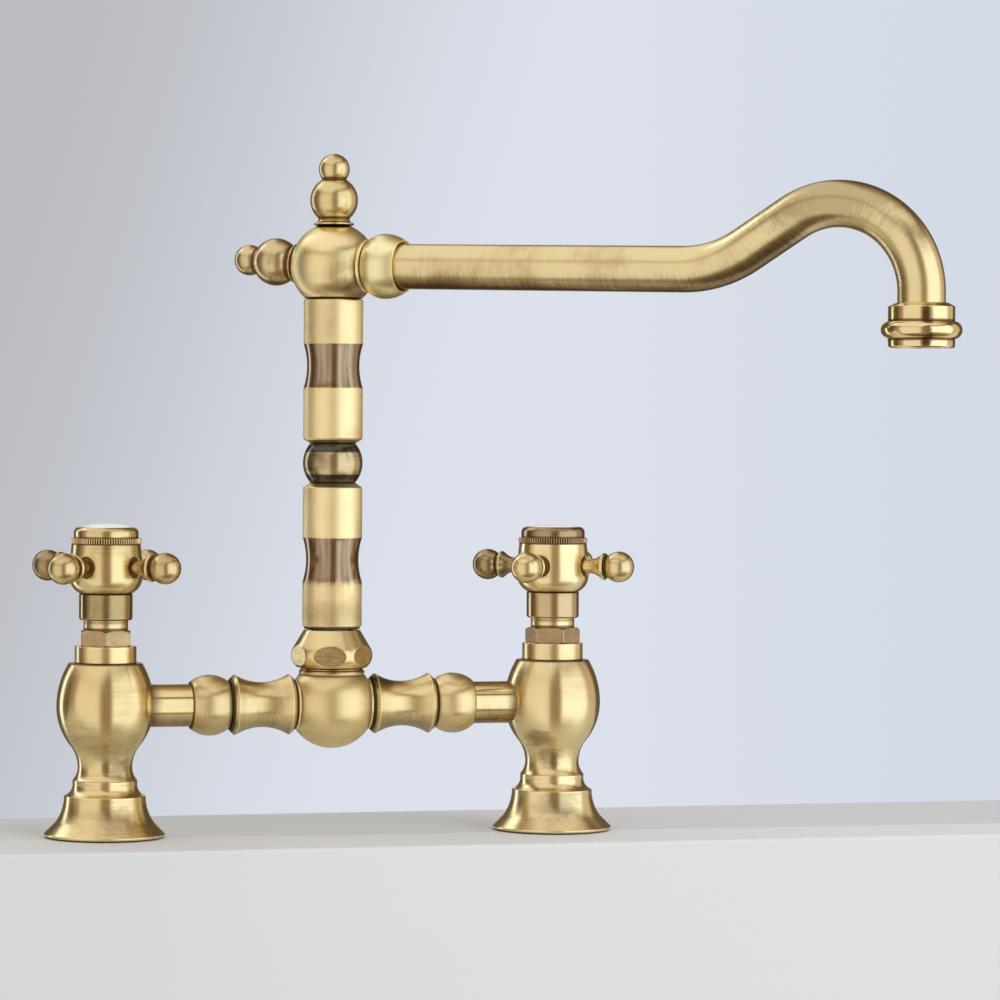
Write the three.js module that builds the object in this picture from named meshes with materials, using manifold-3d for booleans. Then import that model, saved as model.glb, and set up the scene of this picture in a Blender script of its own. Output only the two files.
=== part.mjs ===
// A bridge kitchen faucet in brushed antique brass: two pillars joined by a turned bridge, a swivelling
// column with a long bent spout, and two cross handles over quarter-turn ceramic valves.
// Millimetres, +Z up. The origin is on the worktop, midway between the pillars; the spout swings over -Y.
import * as THREE from "three";
import { mergeVertices } from "three/addons/utils/BufferGeometryUtils.js";
import Module from "manifold-3d";

const wasm = await Module();
wasm.setup();

// ---------------------------------------------------------------- driving sizes
const fit = 0.3; // gap round a piece that sits in another
const play = 0.35; // gap round a piece that turns in another

const bridgeLength = 180; // between the pillar axes
const bridgeHeight = 50.8; // bridge axis above the worktop
const bridgePipe = { radius: 8.3, bore: 6.2, entry: 4.5 };
const spool = { rimRadius: 11.9, waistRadius: 8.8, endRadius: 9.9, length: 25.7, bevel: 2 };
const bead = { radius: 11.9, faceRadius: 9.1 };

const deckThickness = 30; // worktop held between the base gasket and the clamp washer
const bell = {
  rimRadius: 23.6, rimEdge: 1.4, flareRadius: 19.2, flareHeight: 5.8,
  ledgeRadius: 15.8, ledgeHeight: 16.2, collarRadius: 12.6, collarHeight: 20.9, height: 22.2,
};
const gasket = { radius: 20, thickness: 2, proud: 0.3 };
const tail = { radius: 10.45, length: 65, hoseBore: 7.2, hoseDepth: 50, waterBore: 4.5, shoulder: 12 };
const spigot = { radius: 7, height: 35 };
const clampWasher = { radius: 18, thickness: 2.5 };
const backNut = { acrossFlats: 27, height: 8 };

const pillar = {
  neckRadius: 10.6, neckRise: 4.9, bellyRadius: 19, shoulderRadius: 14.3, shoulderRise: 16.8,
  cavityRadius: 8.4, cavityDepth: 22, port: 5,
};
const bonnet = { ringRadius: 12, ringHeight: 6.7, acrossFlats: 19, hexHeight: 6.1, neckRadius: 8.65, neckHeight: 13 };
const hexTurn = { left: 21, right: 37 }; // degrees of a bonnet corner from +X, as each is tightened
const disc = { radius: 6.2, thickness: 2.4, port: 1.7 };
const spindle = { radius: 4, flangeThickness: 2.2 };

const skirt = { radius: 10.4, length: 10.2, gapBelow: 3.9 };
const hub = {
  baseRadius: 10, widestRadius: 14.2, topRadius: 13.4, height: 19.4, swell: 6.5, wellRadius: 7, wellDepth: 8,
  web: 2.3,
};
const spoke = {
  rise: 10.4, stubRadius: 2.7, collarRadius: 5.3, collarReach: 22.3, ballRadius: 6.1, ballReach: 28, rootDepth: 2.6,
  stubProud: 2.4,
};
const cap = { radius: 12.6, coinRadius: 13.65, coinHeight: 2.2, height: 6.45, edgeRound: 1.5, seat: 2.6 };
const index = { radius: 9.3, edge: 2.4, dome: 1.5 };
const fixingScrew = { radius: 2.1, headRadius: 4.2, headHeight: 2.4, length: 9.5 };

const centre = { radius: 17.3, bossRadius: 9.9, bossReach: 15, collarRadius: 12.85, collarTop: 14.2, neckRadius: 10.1, neckTop: 20 };
const unionNut = {
  baseRadius: 13.9, widestRadius: 16, shoulderRadius: 15.1, topRadius: 11, height: 15,
  widestRise: 4.9, shoulderRise: 8.2, lip: 3.2, acrossFlats: 29.2, facetTurn: 14,
};
const pipe = { radius: 7.5, bore: 6, flangeRadius: 9.6, flangeThickness: 2.4, depth: 12, headEntry: 6 };
const glideThickness = 1.9;
const oRing = { section: 0.95, squeeze: 0.12, firstRise: -6, pitch: 4.5 };
const sleeve = { radius: 11.7, waistRadius: 10.3, waistLength: 17.5, length: 54.5, chamfer: 2 };
const columnGap = 1.3; // shadow line between the union nut and the turning column
const waistCentre = 0.48; // of the sleeve's length, measured from its lower end
const columnBall = { radius: 11.75, height: 15.4 };

const head = { radius: 17, seatRise: 13.2, finialSeat: 15.9, armSeat: 14.6, rearSeat: 15.6, rearLift: 3, bore: 6 };
const finial = {
  collarRadius: 7.9, throatRadius: 6.1, collarHeight: 2.9, ballRadius: 9.4, neckRadius: 4.8,
  tipRadius: 6.1, ballRise: 9.9, tipRise: 22.1, studRadius: 2.5, studLength: 4,
};
const socket = {
  ringRadius: 10.5, ringThickness: 1.3, barrelRadius: 12.8, crestReach: 22.9, endRadius: 10.3, endReach: 31, pipeStop: 18,
};
const arm = {
  radius: 8.8, bore: 7.5, fall: 1.2, straight: 149.3, riseRadius: 46, riseAngle: 33, riseRun: 22, crookRadius: 33,
  drop: 8.5,
};
const nozzle = {
  neckRadius: 9.6, collarRadius: 12.2, beadRadius: 14.85, beadHeight: 6.4, shoulder: 1.4, upperBand: 5.4, lowerBand: 3.4,
  mouthRadius: 9.6, mouthDepth: 4.8, pipeEntry: 5,
};
const aerator = { radius: 10, height: 5.5, hole: 1.1, holeRing: 4.6, holes: 6 };

const spoutSwing = -41; // degrees from +X, as the spout stands at rest
const handleTurn = { hot: 45, cold: 52.5 }; // degrees of the first spoke from +X, at rest

// ---------------------------------------------------------------- heights that follow from the sizes
const pillarFoot = bell.height;
const pillarTop = bridgeHeight + pillar.shoulderRise;
const hexBase = pillarTop + bonnet.ringHeight;
const hexTop = hexBase + bonnet.hexHeight;
const skirtBase = hexTop + skirt.gapBelow;
const hubBase = skirtBase + skirt.length;
const hubTop = hubBase + hub.height;
const wellFloor = hubTop - hub.wellDepth;
const spindleTop = wellFloor - hub.web - fit;
const cavityFloor = pillarTop - pillar.cavityDepth;
const capTop = hubTop + cap.height;

const nutBase = bridgeHeight + centre.collarTop;
const nutTop = nutBase + unionNut.height;
const columnBase = nutTop + columnGap;
const ballBase = columnBase + sleeve.length + sleeve.chamfer;
const upperBase = ballBase + columnBall.height;
const upperTop = upperBase + sleeve.chamfer + sleeve.length;
const headHeight = upperTop + head.seatRise;

// ---------------------------------------------------------------- materials
const finish = (color, roughness, metalness = 1) => new THREE.MeshStandardMaterial({ color, roughness, metalness });
const brushedBrass = finish(0xc8af6e, 0.34);
const polishedBrass = finish(0xe6cd8c, 0.2);
const darkBrass = finish(0x8a6f4a, 0.4);
const rawBrass = finish(0xc9a84c, 0.45);
const steel = finish(0xa8aaac, 0.35);
const rubber = finish(0x1c1c1d, 0.85, 0);
const nylon = finish(0xe8e6df, 0.5, 0);
const ceramic = finish(0xf2efe8, 0.3, 0);
const porcelain = finish(0xf7f6f2, 0.15, 0);

// ---------------------------------------------------------------- shape helpers
const radians = THREE.MathUtils.degToRad;

// Number of sides that keeps a circle of this radius round enough.
const sidesFor = (radius) => Math.max(12, 2 * Math.round(1.82 * Math.sqrt(radius)));

// A closed geometry as a solid for cutting and joining.
function solid(geometry) {
  const bare = geometry.clone();
  bare.deleteAttribute("normal");
  bare.deleteAttribute("uv");
  const merged = mergeVertices(bare, 1e-4);
  const vertProperties = merged.attributes.position.array;
  const triVerts = new Uint32Array(merged.index.array);
  return new wasm.Manifold(new wasm.Mesh({ numProp: 3, vertProperties, triVerts }));
}

// A solid back as a geometry.
function surface(body) {
  const { vertProperties, triVerts } = body.getMesh();
  const geometry = new THREE.BufferGeometry();
  geometry.setAttribute("position", new THREE.BufferAttribute(vertProperties, 3));
  geometry.setIndex(new THREE.BufferAttribute(triVerts, 1));
  geometry.computeVertexNormals();
  return geometry;
}

// Turns a profile of [radius, height] points about +Z. A profile that stays off the axis is a ring.
function turned(profile, sides = sidesFor(Math.max(...profile.map(([radius]) => radius)))) {
  const points = profile.map(([radius, height]) => new THREE.Vector2(radius, height));
  if (THREE.ShapeUtils.area(points) < 0) points.reverse();
  const closed = points[0].x < 1e-9 && points.at(-1).x < 1e-9;
  if (!closed) points.push(points[0].clone());
  return new THREE.LatheGeometry(points, sides).rotateX(Math.PI / 2);
}

// A plain ring or, with no bore, a disc between two heights.
function ring(radius, bore, low, high, sides) {
  const inner = bore > 0 ? bore : 0;
  return turned([[inner, low], [radius, low], [radius, high], [inner, high]], sides);
}

// Points of the circle that runs parallel to the axis at the crest and passes through the end.
function arch(crest, end, steps = 4) {
  const drop = end[0] - crest[0];
  const rise = end[1] - crest[1];
  const radius = (rise ** 2 + drop ** 2) / (2 * Math.abs(drop));
  const sweep = Math.atan2(Math.abs(rise), radius - Math.abs(drop));
  return Array.from({ length: steps + 1 }, (_, i) => {
    const angle = (sweep * i) / steps;
    const inward = radius * (1 - Math.cos(angle));
    return [crest[0] + Math.sign(drop) * inward, crest[1] + Math.sign(rise) * radius * Math.sin(angle)];
  });
}

// Points of a ball's outline between two heights.
function ballArc(radius, middle, low, high, steps = 6) {
  const from = Math.asin(THREE.MathUtils.clamp((low - middle) / radius, -1, 1));
  const to = Math.asin(THREE.MathUtils.clamp((high - middle) / radius, -1, 1));
  return Array.from({ length: steps + 1 }, (_, i) => {
    const angle = from + ((to - from) * i) / steps;
    return [Math.abs(angle) > Math.PI / 2 - 1e-9 ? 0 : radius * Math.cos(angle), middle + radius * Math.sin(angle)];
  });
}

// A six-sided bar between two heights, with a corner towards +X.
function hexBar(acrossFlats, low, high) {
  const corner = acrossFlats / Math.sqrt(3);
  const bar = new THREE.CylinderGeometry(corner, corner, high - low, 6).rotateX(Math.PI / 2);
  return bar.rotateZ(Math.PI / 2).translate(0, 0, (low + high) / 2);
}

// A round bar along +X, for cross bores.
function crossBar(radius, from, to, height, sides = sidesFor(radius)) {
  const bar = new THREE.CylinderGeometry(radius, radius, to - from, sides).rotateZ(Math.PI / 2);
  return bar.translate((from + to) / 2, 0, height);
}

const alongX = (geometry) => geometry.rotateY(Math.PI / 2);

function piece(name, geometry, material) {
  const mesh = new THREE.Mesh(geometry, material);
  mesh.name = name;
  return mesh;
}

// ---------------------------------------------------------------- pillar on its flared base, with its fixings
function bellGeometry() {
  const low = gasket.proud;
  const ledge = [bell.ledgeRadius, bell.ledgeHeight];
  const outside = [
    [bell.rimRadius - bell.rimEdge / 2, low],
    [bell.rimRadius, low + bell.rimEdge / 2],
    [bell.rimRadius - bell.rimEdge / 3, low + bell.rimEdge],
    ...arch(ledge, [bell.flareRadius, bell.flareHeight], 3).reverse(),
    [(bell.ledgeRadius + bell.collarRadius) / 2 - 0.4, (bell.ledgeHeight + bell.collarHeight) / 2],
    [bell.collarRadius, bell.collarHeight],
    [bell.collarRadius, bell.height],
  ];
  const inside = [
    [spigot.radius + fit, bell.height],
    [spigot.radius + fit, tail.shoulder + fit],
    [tail.radius + fit, tail.shoulder + fit],
    [tail.radius + fit, gasket.thickness],
    [gasket.radius + fit, gasket.thickness],
    [gasket.radius + fit, low],
  ];
  return turned([...outside, ...inside]);
}

function tailGeometry() {
  const hoseTop = tail.hoseDepth - tail.length;
  return turned([
    [tail.hoseBore, -tail.length],
    [tail.radius, -tail.length],
    [tail.radius, tail.shoulder],
    [spigot.radius, tail.shoulder],
    [spigot.radius, spigot.height],
    [tail.waterBore, spigot.height],
    [tail.waterBore, hoseTop],
    [tail.hoseBore, hoseTop],
  ]);
}

// The baluster's belly swells in one arc up to the shoulder and in an ogee down to the neck.
function pillarGeometry() {
  const belly = [pillar.bellyRadius, bridgeHeight];
  const neck = [pillar.neckRadius, pillarFoot + pillar.neckRise];
  const share = 0.64; // of the ogee that belongs to the belly
  const turn = [
    THREE.MathUtils.lerp(belly[0], neck[0], share),
    THREE.MathUtils.lerp(belly[1], neck[1], share),
  ];
  const outside = [
    ...arch(neck, [bell.collarRadius, pillarFoot + fit], 2).reverse(),
    ...arch(neck, turn, 2).slice(1, -1),
    ...arch(belly, turn, 3).reverse(),
    ...arch(belly, [pillar.shoulderRadius, pillarTop], 3).slice(1),
  ];
  const inside = [
    [pillar.cavityRadius, pillarTop],
    [pillar.cavityRadius, cavityFloor],
    [tail.waterBore, cavityFloor],
    [tail.waterBore, spigot.height + fit],
    [spigot.radius + fit, spigot.height + fit],
    [spigot.radius + fit, pillarFoot + fit],
  ];
  const body = solid(turned([...outside, ...inside]));
  const pipeEnd = pillar.bellyRadius - bridgePipe.entry - fit;
  const pipeSeat = solid(crossBar(bridgePipe.radius + fit, pipeEnd, pillar.bellyRadius + 2, bridgeHeight));
  const port = solid(crossBar(pillar.port, pillar.cavityRadius - 2, pillar.bellyRadius, bridgeHeight));
  return surface(body.subtract(pipeSeat).subtract(port));
}

// The bonnet screws into the pillar's top: collar ring, hexagon and neck outside, valve seat inside.
function bonnetGeometry(turn) {
  const foot = cavityFloor + fit;
  const stemTop = hexTop + bonnet.neckHeight;
  const chamber = foot + 2 * disc.thickness + spindle.flangeThickness + 4 * play;
  const body = solid(turned([
    [disc.radius + fit, foot],
    [pillar.cavityRadius - fit, foot],
    [pillar.cavityRadius - fit, pillarTop],
    [bonnet.ringRadius, pillarTop],
    [bonnet.ringRadius, hexBase],
    [bonnet.neckRadius, hexBase],
    [bonnet.neckRadius, stemTop],
    [spindle.radius + play, stemTop],
    [spindle.radius + play, chamber],
    [disc.radius + fit, chamber],
  ]));
  const bore = solid(ring(spindle.radius + play, 0, foot, stemTop + 1));
  const hexagon = solid(hexBar(bonnet.acrossFlats, hexBase, hexTop).rotateZ(radians(turn))).subtract(bore);
  const window = solid(crossBar(pillar.port - 0.6, 0, pillar.bellyRadius, bridgeHeight + 0.4));
  return surface(body.add(hexagon).subtract(window));
}

// Each ceramic disc has two ports on opposite sides.
function discGeometry(low) {
  const plate = solid(ring(disc.radius, 0, low, low + disc.thickness, 10));
  const ports = [-1, 1].map((side) => {
    const hole = new THREE.CylinderGeometry(disc.port, disc.port, 4 * disc.thickness, 5).rotateX(Math.PI / 2);
    return solid(hole.translate(0, (side * disc.radius) / 2, low));
  });
  return surface(plate.subtract(ports[0]).subtract(ports[1]));
}

function pillarGroup(side, label) {
  const group = new THREE.Group();
  group.position.x = (side * bridgeLength) / 2;
  group.rotation.z = side > 0 ? Math.PI : 0;
  const washerLow = -deckThickness - clampWasher.thickness;
  const nutBore = solid(ring(tail.radius + fit, 0, washerLow - backNut.height - 1, washerLow + 1, 14));
  const nut = solid(hexBar(backNut.acrossFlats, washerLow - backNut.height, washerLow)).subtract(nutBore);
  group.add(
    piece(label + "_base_bell", bellGeometry(), brushedBrass),
    piece(label + "_base_gasket", ring(gasket.radius, tail.radius + fit, 0, gasket.thickness, 14), rubber),
    piece(label + "_inlet_tail", tailGeometry(), rawBrass),
    piece(label + "_clamp_washer", ring(clampWasher.radius, tail.radius + fit, washerLow, -deckThickness, 14), steel),
    piece(label + "_back_nut", surface(nut), rawBrass),
    piece(label + "_pillar", pillarGeometry(), brushedBrass),
    piece(label + "_valve_bonnet", bonnetGeometry(hexTurn[label]), darkBrass),
    piece(label + "_fixed_disc", discGeometry(cavityFloor + fit), ceramic),
  );
  return group;
}

// ---------------------------------------------------------------- cross handle, turning with its spindle
function spindleGeometry() {
  const flange = cavityFloor + fit + 2 * (disc.thickness + play);
  const tapBore = fixingScrew.radius + fit;
  return turned([
    [0, flange],
    [disc.radius, flange],
    [disc.radius, flange + spindle.flangeThickness],
    [spindle.radius, flange + spindle.flangeThickness],
    [spindle.radius, spindleTop],
    [tapBore, spindleTop],
    [tapBore, wellFloor - fixingScrew.length],
    [0, wellFloor - fixingScrew.length],
  ], 10);
}

// The hub is a cup with a rounded foot; its broached bore sits on the spindle, the well above takes the screw.
function hubGeometry() {
  const widest = [hub.widestRadius, hubBase + hub.swell];
  const outside = [
    ...arch(widest, [hub.baseRadius, hubBase], 3).reverse(),
    [hub.widestRadius, hubBase + spoke.rise + 1],
    [hub.topRadius, hubTop],
  ];
  const inside = [
    [hub.wellRadius, hubTop],
    [hub.wellRadius, wellFloor],
    [fixingScrew.radius + fit, wellFloor],
    [fixingScrew.radius + fit, wellFloor - hub.web],
    [spindle.radius + fit, wellFloor - hub.web],
    [spindle.radius + fit, hubBase],
  ];
  let body = solid(turned([...outside, ...inside]));
  const root = hub.widestRadius - spoke.rootDepth - fit;
  for (let i = 0; i < 4; i++) {
    const hole = crossBar(spoke.stubRadius + fit, root, hub.widestRadius + 1, hubBase + spoke.rise, 8);
    body = body.subtract(solid(hole.rotateZ((i * Math.PI) / 2)));
  }
  return surface(body);
}

// A turned spoke: stub, trumpet, collar edge, small throat and ball end, drawn along its own axis.
function spokeGeometry() {
  const start = hub.widestRadius - spoke.rootDepth;
  const face = spoke.collarReach;
  const throat = (spoke.stubRadius + spoke.collarRadius) / 2;
  const ballStart = spoke.ballReach - Math.sqrt(spoke.ballRadius ** 2 - throat ** 2);
  return alongX(turned([
    [0, start],
    [spoke.stubRadius, start],
    ...arch([spoke.stubRadius, hub.widestRadius + spoke.stubProud], [spoke.collarRadius - 0.3, face - 0.5], 2),
    [spoke.collarRadius, face],
    [spoke.collarRadius - 0.5, face + 0.6],
    ...ballArc(spoke.ballRadius, spoke.ballReach, ballStart, spoke.ballReach + spoke.ballRadius, 3),
  ], 10));
}

// The cap ring: a rounded rim on a wider coin band, open in the middle for the index disc.
function capGeometry() {
  const rimLow = hubTop + cap.coinHeight;
  const bore = index.radius + fit;
  return turned([
    [hub.wellRadius, hubTop],
    [cap.coinRadius, hubTop],
    [cap.coinRadius, rimLow],
    [cap.radius, rimLow],
    [cap.radius, capTop - cap.edgeRound],
    [cap.radius - cap.edgeRound, capTop],
    [bore, capTop],
    [bore, capTop - cap.seat],
    [hub.wellRadius, capTop - cap.seat],
  ]);
}

// The domed index disc is blank.
function indexGeometry() {
  const low = capTop - cap.seat;
  const rimTop = low + index.edge;
  const dome = arch([index.dome, 0], [0, index.radius], 2).map(([rise, radius]) => [radius, rimTop + rise]);
  return turned([[0, low], [index.radius, low], ...dome.reverse().map(([r, z]) => [r < 1e-9 ? 0 : r, z])]);
}

function screwGeometry() {
  return turned([
    [0, wellFloor - fixingScrew.length + fit],
    [fixingScrew.radius, wellFloor - fixingScrew.length + fit],
    [fixingScrew.radius, wellFloor],
    [fixingScrew.headRadius, wellFloor],
    [fixingScrew.headRadius, wellFloor + fixingScrew.headHeight],
    [0, wellFloor + fixingScrew.headHeight],
  ], 6);
}

function handleGroup(side, label) {
  const group = new THREE.Group();
  group.position.x = (side * bridgeLength) / 2;
  group.rotation.z = radians(handleTurn[label]);
  const skirtBore = bonnet.neckRadius + play;
  const skirtWall = [
    [skirtBore, skirtBase],
    [skirt.radius, skirtBase],
    [skirt.radius, hubBase],
    [skirtBore, hubBase],
  ];
  group.add(
    piece(label + "_handle_hub", hubGeometry(), brushedBrass),
    piece(label + "_handle_skirt", turned(skirtWall), brushedBrass),
    piece(label + "_cap_ring", capGeometry(), side < 0 ? brushedBrass : darkBrass),
    piece(label + "_index_disc", indexGeometry(), porcelain),
    piece(label + "_handle_screw", screwGeometry(), steel),
    piece(label + "_spindle", spindleGeometry(), rawBrass),
    piece(label + "_turning_disc", discGeometry(cavityFloor + fit + disc.thickness + play), ceramic),
  );
  for (let i = 0; i < 4; i++) {
    const arm = piece(label + "_spoke_" + (i + 1), spokeGeometry(), brushedBrass);
    arm.position.z = hubBase + spoke.rise;
    arm.rotation.z = (i * Math.PI) / 2;
    group.add(arm);
  }
  return group;
}

// ---------------------------------------------------------------- bridge and union
function spoolGeometry() {
  const start = centre.bossReach + fit;
  const end = start + spool.length;
  const waist = [spool.waistRadius, (start + end) / 2];
  const rim = (reach) => [spool.rimRadius, reach];
  return turned([
    [spool.endRadius, start],
    [spool.rimRadius - 0.5, start + spool.bevel - 0.6],
    ...arch(waist, rim(start + spool.bevel), 2).reverse(),
    ...arch(waist, rim(end - spool.bevel), 2).slice(1),
    [spool.rimRadius - 0.5, end - spool.bevel + 0.6],
    [spool.endRadius, end],
    [bridgePipe.radius + fit, end],
    [bridgePipe.radius + fit, start],
  ]);
}

function beadGeometry() {
  const start = centre.bossReach + 2 * fit + spool.length;
  const half = Math.sqrt(bead.radius ** 2 - bead.faceRadius ** 2);
  return turned([
    ...ballArc(bead.radius, start + half, start, start + 2 * half, 4),
    [bridgePipe.radius + fit, start + 2 * half],
    [bridgePipe.radius + fit, start],
  ]);
}

function bridgeGroup(side, label) {
  const group = new THREE.Group();
  group.position.z = bridgeHeight;
  group.rotation.z = side > 0 ? 0 : Math.PI;
  const inner = centre.bossReach - bridgePipe.entry;
  const outer = bridgeLength / 2 - pillar.bellyRadius + bridgePipe.entry;
  group.add(
    piece(label + "_bridge_pipe", alongX(ring(bridgePipe.radius, bridgePipe.bore, inner, outer, 14)), brushedBrass),
    piece(label + "_bridge_spool", alongX(spoolGeometry()), brushedBrass),
    piece(label + "_bridge_bead", alongX(beadGeometry()), brushedBrass),
  );
  return group;
}

// The middle body: a ball with a boss each side for the bridge pipes and a collared neck for the union nut.
function centreGeometry() {
  const collarBase = Math.sqrt(centre.radius ** 2 - centre.collarRadius ** 2);
  const seat = centre.neckTop - pipe.depth - fit;
  const reach = centre.bossReach;
  const inner = reach - bridgePipe.entry - fit;
  const ball = turned([
    ...ballArc(centre.radius, 0, -centre.radius, collarBase, 6),
    [centre.collarRadius, centre.collarTop],
    [centre.neckRadius, centre.collarTop],
    [centre.neckRadius, centre.neckTop],
    [0, centre.neckTop],
  ]);
  const waterway = turned([
    [0, 0],
    [pipe.bore, 0],
    [pipe.bore, seat],
    [pipe.radius + play, seat],
    [pipe.radius + play, centre.neckTop + 1],
    [0, centre.neckTop + 1],
  ]);
  const cuts = [
    waterway,
    crossBar(bridgePipe.bore, -inner - 1, inner + 1, 0, 10),
    crossBar(bridgePipe.radius + fit, inner, reach + 1, 0),
    crossBar(bridgePipe.radius + fit, -reach - 1, -inner, 0),
  ];
  const faces = new THREE.BoxGeometry(2 * reach, 4 * reach, 4 * reach);
  const body = solid(ball).intersect(solid(faces)).add(solid(crossBar(centre.bossRadius, -reach, reach, 0)));
  return surface(cuts.reduce((left, cut) => left.subtract(solid(cut)), body)).translate(0, 0, bridgeHeight);
}

// The union nut: a bulged cone whose widest part is cut by six flats, which leaves six oval facets.
function unionNutGeometry() {
  const shoulder = nutBase + unionNut.shoulderRise;
  const widest = [unionNut.widestRadius, nutBase + unionNut.widestRise];
  const lipBase = nutTop - unionNut.lip;
  const body = solid(turned([
    [centre.neckRadius + fit, nutBase + fit],
    [unionNut.baseRadius, nutBase + fit],
    ...arch(widest, [unionNut.baseRadius + 0.3, nutBase + 0.9], 3).reverse(),
    ...arch(widest, [unionNut.shoulderRadius, shoulder], 2).slice(1),
    [unionNut.topRadius, nutTop],
    [pipe.radius + play, nutTop],
    [pipe.radius + play, lipBase],
    [centre.neckRadius + fit, lipBase],
  ], 16));
  const flats = hexBar(unionNut.acrossFlats, nutBase - 1, nutTop + 1).rotateZ(radians(30 + unionNut.facetTurn));
  return surface(body.intersect(solid(flats)));
}

// ---------------------------------------------------------------- swivelling column and spout
const pipeBase = bridgeHeight + centre.neckTop - pipe.depth;
const flangeBase = bridgeHeight + centre.neckTop + play;
const headSeat = headHeight - head.seatRise;
const pipeTop = headSeat + pipe.headEntry;
const grooves = [0, 1].map((i) => bridgeHeight + centre.neckTop + oRing.firstRise + (i - 1) * oRing.pitch);

// The inner pipe carries the water up to the head; its flange is held under the union nut.
function innerPipeGeometry() {
  const grooveFloor = pipe.radius + play - 2 * oRing.section - 2 * oRing.squeeze;
  const grooveCut = grooves.flatMap((middle) => [
    [pipe.radius, middle - oRing.section - 0.15],
    [grooveFloor, middle - oRing.section - 0.15],
    [grooveFloor, middle + oRing.section + 0.15],
    [pipe.radius, middle + oRing.section + 0.15],
  ]);
  return turned([
    [pipe.bore - 1, pipeBase],
    [pipe.radius, pipeBase],
    ...grooveCut,
    [pipe.radius, flangeBase],
    [pipe.flangeRadius, flangeBase],
    [pipe.flangeRadius, flangeBase + pipe.flangeThickness],
    [pipe.radius, flangeBase + pipe.flangeThickness],
    [pipe.radius, pipeTop],
    [pipe.bore - 1, pipeTop],
  ], 12);
}

function oRingGeometry(middle) {
  const across = pipe.radius + play - oRing.section - oRing.squeeze;
  return new THREE.TorusGeometry(across, oRing.section - oRing.squeeze, 4, 12).translate(0, 0, middle);
}

// A column sleeve: a plain tube drawn in to a waist between two bands. The cone end meets the ball.
function sleeveGeometry(low, coneOnTop) {
  const waistZ = low + sleeve.length * (coneOnTop ? waistCentre : 1 - waistCentre);
  const waist = [sleeve.waistRadius, waistZ];
  const half = sleeve.waistLength / 2;
  const faceRadius = Math.sqrt(columnBall.radius ** 2 - (columnBall.height / 2) ** 2);
  const edge = 0.5;
  const base = coneOnTop ? low : low - sleeve.chamfer;
  const top = coneOnTop ? low + sleeve.length + sleeve.chamfer : low + sleeve.length;
  const lower = coneOnTop
    ? [[sleeve.radius - edge, base], [sleeve.radius, base + edge]]
    : [[faceRadius, base], [sleeve.radius - edge, low - edge], [sleeve.radius, low + edge]];
  const upper = coneOnTop
    ? [[sleeve.radius, top - sleeve.chamfer], [faceRadius, top]]
    : [[sleeve.radius, top - edge], [sleeve.radius - edge, top]];
  return turned([
    ...lower,
    ...arch(waist, [sleeve.radius, waistZ - half], 2).reverse(),
    ...arch(waist, [sleeve.radius, waistZ + half], 2).slice(1),
    ...upper,
    [pipe.radius + fit, top],
    [pipe.radius + fit, base],
  ]);
}

function columnBallGeometry() {
  const top = upperBase;
  return turned([
    ...ballArc(columnBall.radius, (ballBase + top) / 2, ballBase, top, 5),
    [pipe.radius + fit, top],
    [pipe.radius + fit, ballBase],
  ]);
}

// The finial is one turning: stud, flared collar, big ball, neck and small ball. Height 0 is its seat.
function finialGeometry() {
  const { ballRadius, ballRise, tipRadius, tipRise, neckRadius } = finial;
  const throat = ballRise - Math.sqrt(ballRadius ** 2 - finial.throatRadius ** 2);
  const ballTop = ballRise + Math.sqrt(ballRadius ** 2 - neckRadius ** 2);
  const tipBase = tipRise - Math.sqrt(tipRadius ** 2 - neckRadius ** 2);
  return turned([
    [0, -finial.studLength],
    [finial.studRadius, -finial.studLength],
    [finial.studRadius, 0],
    [finial.collarRadius - 0.4, 0],
    [finial.collarRadius, 0.5],
    ...arch([finial.throatRadius, finial.collarHeight], [finial.collarRadius - 0.3, 1.1], 2).reverse(),
    ...ballArc(ballRadius, ballRise, Math.max(throat, finial.collarHeight + 0.01), ballTop, 4),
    ...ballArc(tipRadius, tipRise, Math.max(tipBase, ballTop + 0.01), tipRise + tipRadius, 3),
  ]);
}

// The head ball, drawn about its own centre: bored from below, flattened and bored at its three seats.
// The arm's seat falls with the arm, and the rear finial's points a little higher than the arm's line.
function headGeometry() {
  const tilt = radians(arm.fall);
  const rearTilt = radians(arm.fall + head.rearLift);
  const ball = solid(turned([
    [0, -head.seatRise + fit],
    ...ballArc(head.radius, 0, -head.seatRise + fit, head.finialSeat, 6),
    [0, head.finialSeat],
  ], 16));
  const span = 2 * head.radius;
  const armFlat = new THREE.BoxGeometry(span, 2 * span, 2 * span).translate(head.armSeat - head.radius, 0, 0);
  const rearFlat = new THREE.BoxGeometry(span, 2 * span, 2 * span).translate(head.radius - head.rearSeat, 0, 0);
  const flattened = ball.intersect(solid(armFlat.rotateY(tilt))).intersect(solid(rearFlat.rotateY(rearTilt)));
  const bores = [
    ring(pipe.radius + fit, 0, -span, pipeTop - headHeight + fit, 12),
    ring(head.bore, 0, -span, 0, 12),
    ring(finial.studRadius + fit, 0, head.finialSeat - finial.studLength - fit, span, 8),
    crossBar(head.bore, 0, span, 0, 12).rotateY(tilt),
    crossBar(finial.studRadius + fit, -span, -head.rearSeat + finial.studLength + fit, 0, 8).rotateY(rearTilt),
  ];
  return surface(bores.reduce((body, bore) => body.subtract(solid(bore)), flattened));
}

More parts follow.
